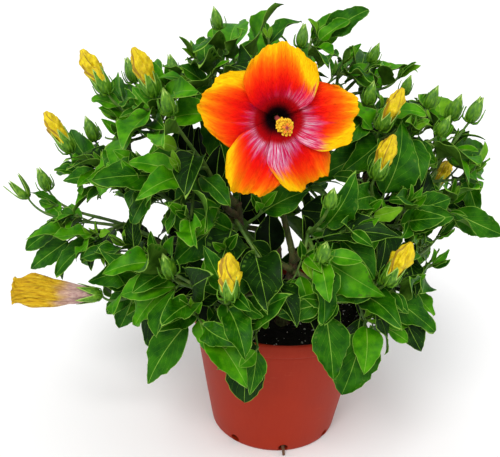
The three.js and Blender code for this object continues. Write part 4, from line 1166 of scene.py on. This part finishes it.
def blade(leaf, shape):
    """Adds a leaf's blade and its side veins, and its stalk.

    Kinds: 0 its tone, 1 its underside, 2 its rib and its edge, 3 its veins.
    """
    inner, rows = SMALL_GRID if leaf["plain"] else LARGE_GRID
    row_shares = row_places(rows)
    half = np.maximum(0.3, half_width(leaf, row_shares))
    rim = np.clip(1 - EDGE_WIDTH / half, 0.45, 0.985)
    rib = np.clip(RIB_WIDTH * (1 - 0.7 * row_shares) / half, 0, 0.25)
    right = [rib] + [np.clip(np.full(rows, place), rib, rim) for place in inner] + [rim, np.ones(rows)]
    parts = np.stack([-column for column in reversed(right)] + right, -1)
    shares = np.broadcast_to(row_shares[:, None], parts.shape)
    plain_strips = [0] * (len(inner) + 1)
    strips = [2] + plain_strips + [2] + plain_strips + [2]
    front, back, edge = (faces[:, ::-1] for faces in sheet_faces(*parts.shape))
    kinds = np.concatenate([np.tile(strips, rows - 1), np.ones(len(back), int), np.full(len(edge), 2)])
    layers = [on_blade(leaf, shares, parts, lift) for lift in (0, -BLADE_THICKNESS)]
    shape.add(np.concatenate(layers), np.concatenate([front, back, edge]), kinds)
    for start in () if leaf["plain"] else VEIN_STARTS:
        out = np.linspace(0.04, min(0.9, (0.86 - start) / VEIN_SLOPE), VEIN_POINTS)
        thin = np.linspace(0.17, 0.07, VEIN_POINTS) / leaf["length"]
        path = start + VEIN_SLOPE * out
        for hand in (-1, 1):
            sides = [on_blade(leaf, path + by, hand * out, VEIN_LIFT) for by in (-thin, thin)]
            shape.add(np.stack(sides, 1), quads(VEIN_POINTS, 2, turned=hand < 0), 3)
    root, along, up = (np.array(v) for v in (leaf["root"], leaf["along"], leaf_axes(leaf)[1]))
    stalk = PETIOLE_SHARE * leaf["length"]
    end = on_blade(leaf, np.array(0.04), np.array(0.0), -0.25)
    limb(stalk_shape, bezier((root - along * 0.6, root + along * stalk * 0.4 + up * stalk * 0.12,
                              root + along * stalk * 0.8 + up * stalk * 0.02, end), 5),
         lambda t: 0.85 - 0.3 * t, 6)


def leaf_finish(name, dark, light, rough=0.4):
    """A leathery green with soft mottling, fine quilting and a waxy gloss."""
    made = Finish(name)
    mottling = made.spots(9, 4)
    made.relief(made.spots(1.6, 3), 0.2)
    return made.surface(base_color=made.mix(made.band(mottling, 0.3, 0.7), seen(*dark), seen(*light)),
                        roughness=rough + 0.16 * mottling, specular_ior_level=0.09)


# The leaves' tones, dark and light for each. Beside the leaves' own spread of greens, the lighter tones are
# painted light on the leaves out and up in the crown, and the deep and shade tones are painted shade inside
# it.
TONES = {
    "young": ((78, 138, 4), (112, 166, 24)),
    "bright": ((40, 108, 0), (76, 146, 2)),
    "green": ((18, 70, 0), (44, 104, 0)),
    "deep": ((8, 36, 2), (22, 58, 4)),
    "shade": ((3, 15, 1), (10, 30, 3)),
}
# Leaves that hang or stand out at the front. For each: its mass, the twig that it is on (0 is the first) and
# the share of that twig, the degrees that it points to the right of the front and that it hangs below level,
# its length and width, and its tone. One that fits nowhere is left out.
PLAIN_LEAVES = [
    ("front_right_low", 2, 0.85, -18, 60, 52, 40, "green"),
    ("front_right_low", 1, 0.9, 10, 60, 48, 30, "green"),
    ("front_right_low", 3, 0.8, 40, 56, 48, 27, "deep"),
    ("front_right_low", 1, 0.5, -80, 5, 46, 32, "bright"),
    ("front_left_low", 4, 0.8, 10, 70, 52, 34, "deep"),
    ("front_left_low", 2, 0.95, 35, 38, 55, 30, "bright"),
    ("front_left_low", 2, 0.7, -66, 46, 58, 30, "green"),
    ("front_centre", 3, 0.9, -70, 10, 48, 30, "green"),
    ("front_centre", 0, 0.7, -70, 35, 45, 30, "green"),
    ("front_left_high", 2, 0.8, -65, 30, 60, 38, "bright"),
    ("left_low", 2, 0.5, -60, 60, 56, 28, "green"),
    ("left_far", 2, 0.9, -75, 35, 48, 24, "green"),
    ("right_mid", 2, 0.9, 70, 35, 46, 26, "green"),
    ("right_far", 3, 0.85, 70, 25, 40, 24, "deep"),
    ("top_right", 1, 1, 90, -33, 44, 23, "green"),
    ("top_right", 1, 0.99, -90, -33, 38, 22, "green"),
    ("left_mid", 2, 0.95, -90, 14, 38, 17, "green"),
]
# A mesh of leaves with more faces than this is full
MOST_FACES = 90000
# The share of leaves kept in the masses that the photograph shows open, in those that it doesn't show, and
# in the others
FULLNESS = {"front_centre": 0.55, "front_mid": 0.7, "front_left_low": 0.62, "front_right_low": 0.66,
            "left_low": 0.7, "left_far": 0.7, "left_mid": 0.72, "right_low": 0.62, "right_far": 0.76,
            "back_low": 1, "back_high": 1, "back_left_low": 1, "back_right_low": 1}
USUAL_FULLNESS = 0.86
# The least score of each tone. A leaf that scores less than all of them is deep.
TONE_SCORES = {"young": 0.98, "bright": 0.70, "green": 0.42}
TONE_SPREAD = 0.17
YOUNG_LENGTH = 16
CROWN_REACH = 190
CROWN_FOOT = 150
CROWN_HEIGHT = 230
# The mass with which the leaves on each stem count, and the step of its fine run from which up it bears any
STEM_MASSES = {"stem_west": "front_centre", "stem_front": "front_mid", "stem_east": "right_mid",
               "stem_north": "back_high"}
STEM_LEAVES_FROM = 14
INNER_GAP = 7.5
INNER_SCALE = 0.95
SHADED_SHARE = 0.7
SHOOT_PLACES = (0.5, 0.82)
SHOOTS_FEWER = 0.15
SHOOT_GAP = 8
SHOOT_SCALE = 0.6
TIP_LEAVES = 4
underside = leaf_finish("leaf_underside", (48, 88, 14), (76, 116, 30), rough=0.55)
vein_pale = leaf_finish("leaf_rib", (96, 144, 34), (134, 172, 66), rough=0.5)
vein_faint = leaf_finish("leaf_vein", (62, 116, 10), (94, 146, 30), rough=0.45)
leaf_shapes = {tone: [Shape()] for tone in TONES}


def tone_at(leaf, tip_share):
    """A leaf's tone by its spray and its place: brighter towards the twig's tip, and painted light and shade,
    brighter outwards and upwards in the crown and darker inside it.
    """
    middle = leaf["root"] + leaf["along"] * leaf["length"] * 0.6
    away = (middle - CROWN_CENTRE).length / CROWN_REACH
    score = (0.45 * away + 0.3 * tip_share + 0.25 * (middle.z - CROWN_FOOT) / CROWN_HEIGHT
             + leaf_draw.gauss(0, TONE_SPREAD))
    if leaf["length"] < YOUNG_LENGTH:
        return "young"
    return next((tone for tone, least in TONE_SCORES.items() if score > least), "deep")


def grow(leaf, tone):
    """Adds a leaf to the last mesh of its tone, or to a new one when that is full."""
    if len(leaf_shapes[tone][-1].faces) > MOST_FACES:
        leaf_shapes[tone].append(Shape())
    blade(leaf, leaf_shapes[tone][-1])


for name, twig, share, right_by, below, length, width, tone in PLAIN_LEAVES:
    root = along_run(masses[name][0][twig][1], share)[0]
    turn, drop = math.radians(right_by), math.radians(below)
    along = Vector((math.sin(turn) * math.cos(drop), -math.cos(turn) * math.cos(drop), -math.sin(drop)))
    leaf = {"root": root, "along": along, "face": TO_VIEWER, "length": length, "width": width, "bend": 0.12,
            "fold": 0.3, "chosen": True}
    if settled := settle(leaf, name):
        grow(settled, tone)
for i, (name, (runs, _)) in enumerate(masses.items()):
    draw = random_from(FIRST_SEED + i)
    for leaf in [leaf for run, fine, bare in runs for leaf in leaves_of(run, fine, draw, bare)]:
        if leaf_draw.random() < FULLNESS.get(name, USUAL_FULLNESS) and (settled := settle(leaf, name)):
            grow(settled, tone_at(settled, leaf["t"]))
# Old leaves inside the crown, on the boughs and the upper parts of the stems. Their colour is painted shade:
# most take the near-black shade tone and the rest the deep one.
inner_limbs = [(name, bezier(bough_corners(*BRANCHES[name][:3]), FINE_STEPS)) for name in BRANCHES]
inner_limbs += [(name, bezier(stem_corners(*STEMS[stem]), FINE_STEPS)[STEM_LEAVES_FROM:])
                for stem, name in STEM_MASSES.items()]
for name, fine in inner_limbs:
    for leaf in leaves_of(fine, fine, leaf_draw.random, 0.0, gap=INNER_GAP, scale=INNER_SCALE):
        if settled := settle(dict(leaf, inside=True), name):
            grow(settled, "shade" if leaf_draw.random() < SHADED_SHARE else "deep")
# Side shoots of the twigs, and a tuft of small leaves at the tip of each twig that bears no flower
for name, (runs, _) in masses.items():
    for _, fine, bare in runs:
        for share in SHOOT_PLACES:
            if leaf_draw.random() > FULLNESS.get(name, USUAL_FULLNESS) - SHOOTS_FEWER:
                continue
            spot, heading = along_run(fine, share * (1 - bare))
            out = Quaternion(heading, leaf_draw.uniform(0, 2 * math.pi)) @ heading.cross(UP).normalized()
            way = (out * 0.8 + heading * 0.5 + UP * 0.35 + outward_at(spot) * 0.4).normalized()
            end = spot + way * leaf_draw.uniform(12, 22)
            shoot = bezier((spot, spot.lerp(end, 0.4), end - UP * 3, end), 8)
            leaves = leaves_of(shoot, shoot, leaf_draw.random, 0.0, SHOOT_GAP, SHOOT_SCALE, fewest=3)
            kept = [settled for leaf in leaves if (settled := settle(leaf, name))]
            if kept:
                limb(twig_shape, shoot, lambda t: 1.0 - 0.35 * t, 6)
            for leaf in kept:
                grow(leaf, tone_at(leaf, 0.85))
        if bare:
            continue
        spot, heading = along_run(fine, 1)
        for k in range(TIP_LEAVES):
            turn = Quaternion(heading, k * GOLDEN_TURN + leaf_draw.uniform(0, 1))
            lean = (turn @ heading.cross(UP).normalized() * 0.45 + heading).normalized()
            size = leaf_draw.uniform(9, 22)
            face = LIGHT + outward_at(spot)
            leaf = own_shape({"root": spot - heading * 0.6 * k, "along": lean, "face": face, "length": size,
                              "width": size * 0.5, "bend": -0.1, "fold": 0.6})
            grow(leaf, tone_at(leaf, 1.0))

foliage_nodes = ["foliage_" + name for name in BRANCHES]
for tone, (dark, light) in TONES.items():
    finishes = [leaf_finish("leaf_" + tone, dark, light), underside, vein_pale, vein_faint]
    for k, shape in enumerate(leaf_shapes[tone]):
        leaf_piece = shape.piece(f"leaves_{tone}_{k + 1}", finishes, "leaf")
        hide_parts(*foliage_nodes)
twig_piece = twig_shape.piece("green_twigs", [shoot_green.material], "leaf")
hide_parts(*foliage_nodes)
stalk_shape.piece("leaf_stalks", [shoot_green.material], "leaf")
calyx_piece = calyx_shape.piece("calyxes", [calyx_green.material, sepal_edge], "leaf")
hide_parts(*foliage_nodes)
furled_shape.piece("furled_blooms", [furled_yellow.material, painted_crease_shade], "petal")
spent_shape.kinds = [0] * len(spent_shape.faces)
spent_shape.piece("spent_bloom", [spent_ochre.material], "petal")


# A plain pale floor, soft studio light from above and the front, and a camera where the photograph was
# taken. None of it belongs to the plant.
FLOOR_REACH = 9000
floor_corners = [(x * FLOOR_REACH, y * FLOOR_REACH, 0) for x, y in ((-1, -1), (1, -1), (1, 1), (-1, 1))]
floor_pale = Finish("studio_floor")
floor_pale.surface(base_color=(0.94, 0.94, 0.94, 1), roughness=0.9, specular_ior_level=0.1)
floor = Shape().add(floor_corners, [(0, 1, 2, 3)]).piece("studio_floor", [floor_pale.material])

world = bpy.data.worlds.new("studio")
world.use_nodes = True
background = world.node_tree.nodes["Background"]
background.inputs["Color"].default_value = (1, 1, 1, 1)
background.inputs["Strength"].default_value = 0.76
bpy.context.scene.world = world


def lamp(name, direction, strength, spread):
    """A soft light from far away. The direction is where it stands as seen from the plant."""
    light = bpy.data.lights.new(name, "SUN")
    light.energy, light.angle = strength, math.radians(spread)
    made = bpy.data.objects.new(name, light)
    made.rotation_euler = Vector(direction).to_track_quat("Z", "Y").to_euler()
    bpy.context.scene.collection.objects.link(made)


lamp("key_light", (-0.2, -0.7, 0.86), 1.9, 30)
lamp("fill_light", (0.8, -0.3, 0.6), 0.15, 60)

PITCH, YAW, ROLL = math.radians(22.88), math.radians(-2.77), math.radians(2.39)
ahead = Vector((math.sin(YAW) * math.cos(PITCH), math.cos(YAW) * math.cos(PITCH), -math.sin(PITCH)))
level = Vector((math.cos(YAW), -math.sin(YAW), 0))
upward = level.cross(ahead)
right = level * math.cos(ROLL) + upward * math.sin(ROLL)
upright = upward * math.cos(ROLL) - level * math.sin(ROLL)
camera = bpy.data.objects.new("camera", bpy.data.cameras.new("camera"))
camera.data.lens = 54
camera.data.sensor_width = 36
camera.data.sensor_fit = "HORIZONTAL"
camera.data.clip_start = 0.01
rows = [[right[i], upright[i], -ahead[i], EYE[i] / 1000] for i in range(3)] + [[0, 0, 0, 1]]
camera.matrix_world = Matrix(rows)
bpy.context.scene.collection.objects.link(camera)
bpy.context.scene.camera = camera
bpy.context.scene.view_settings.view_transform = "Standard"
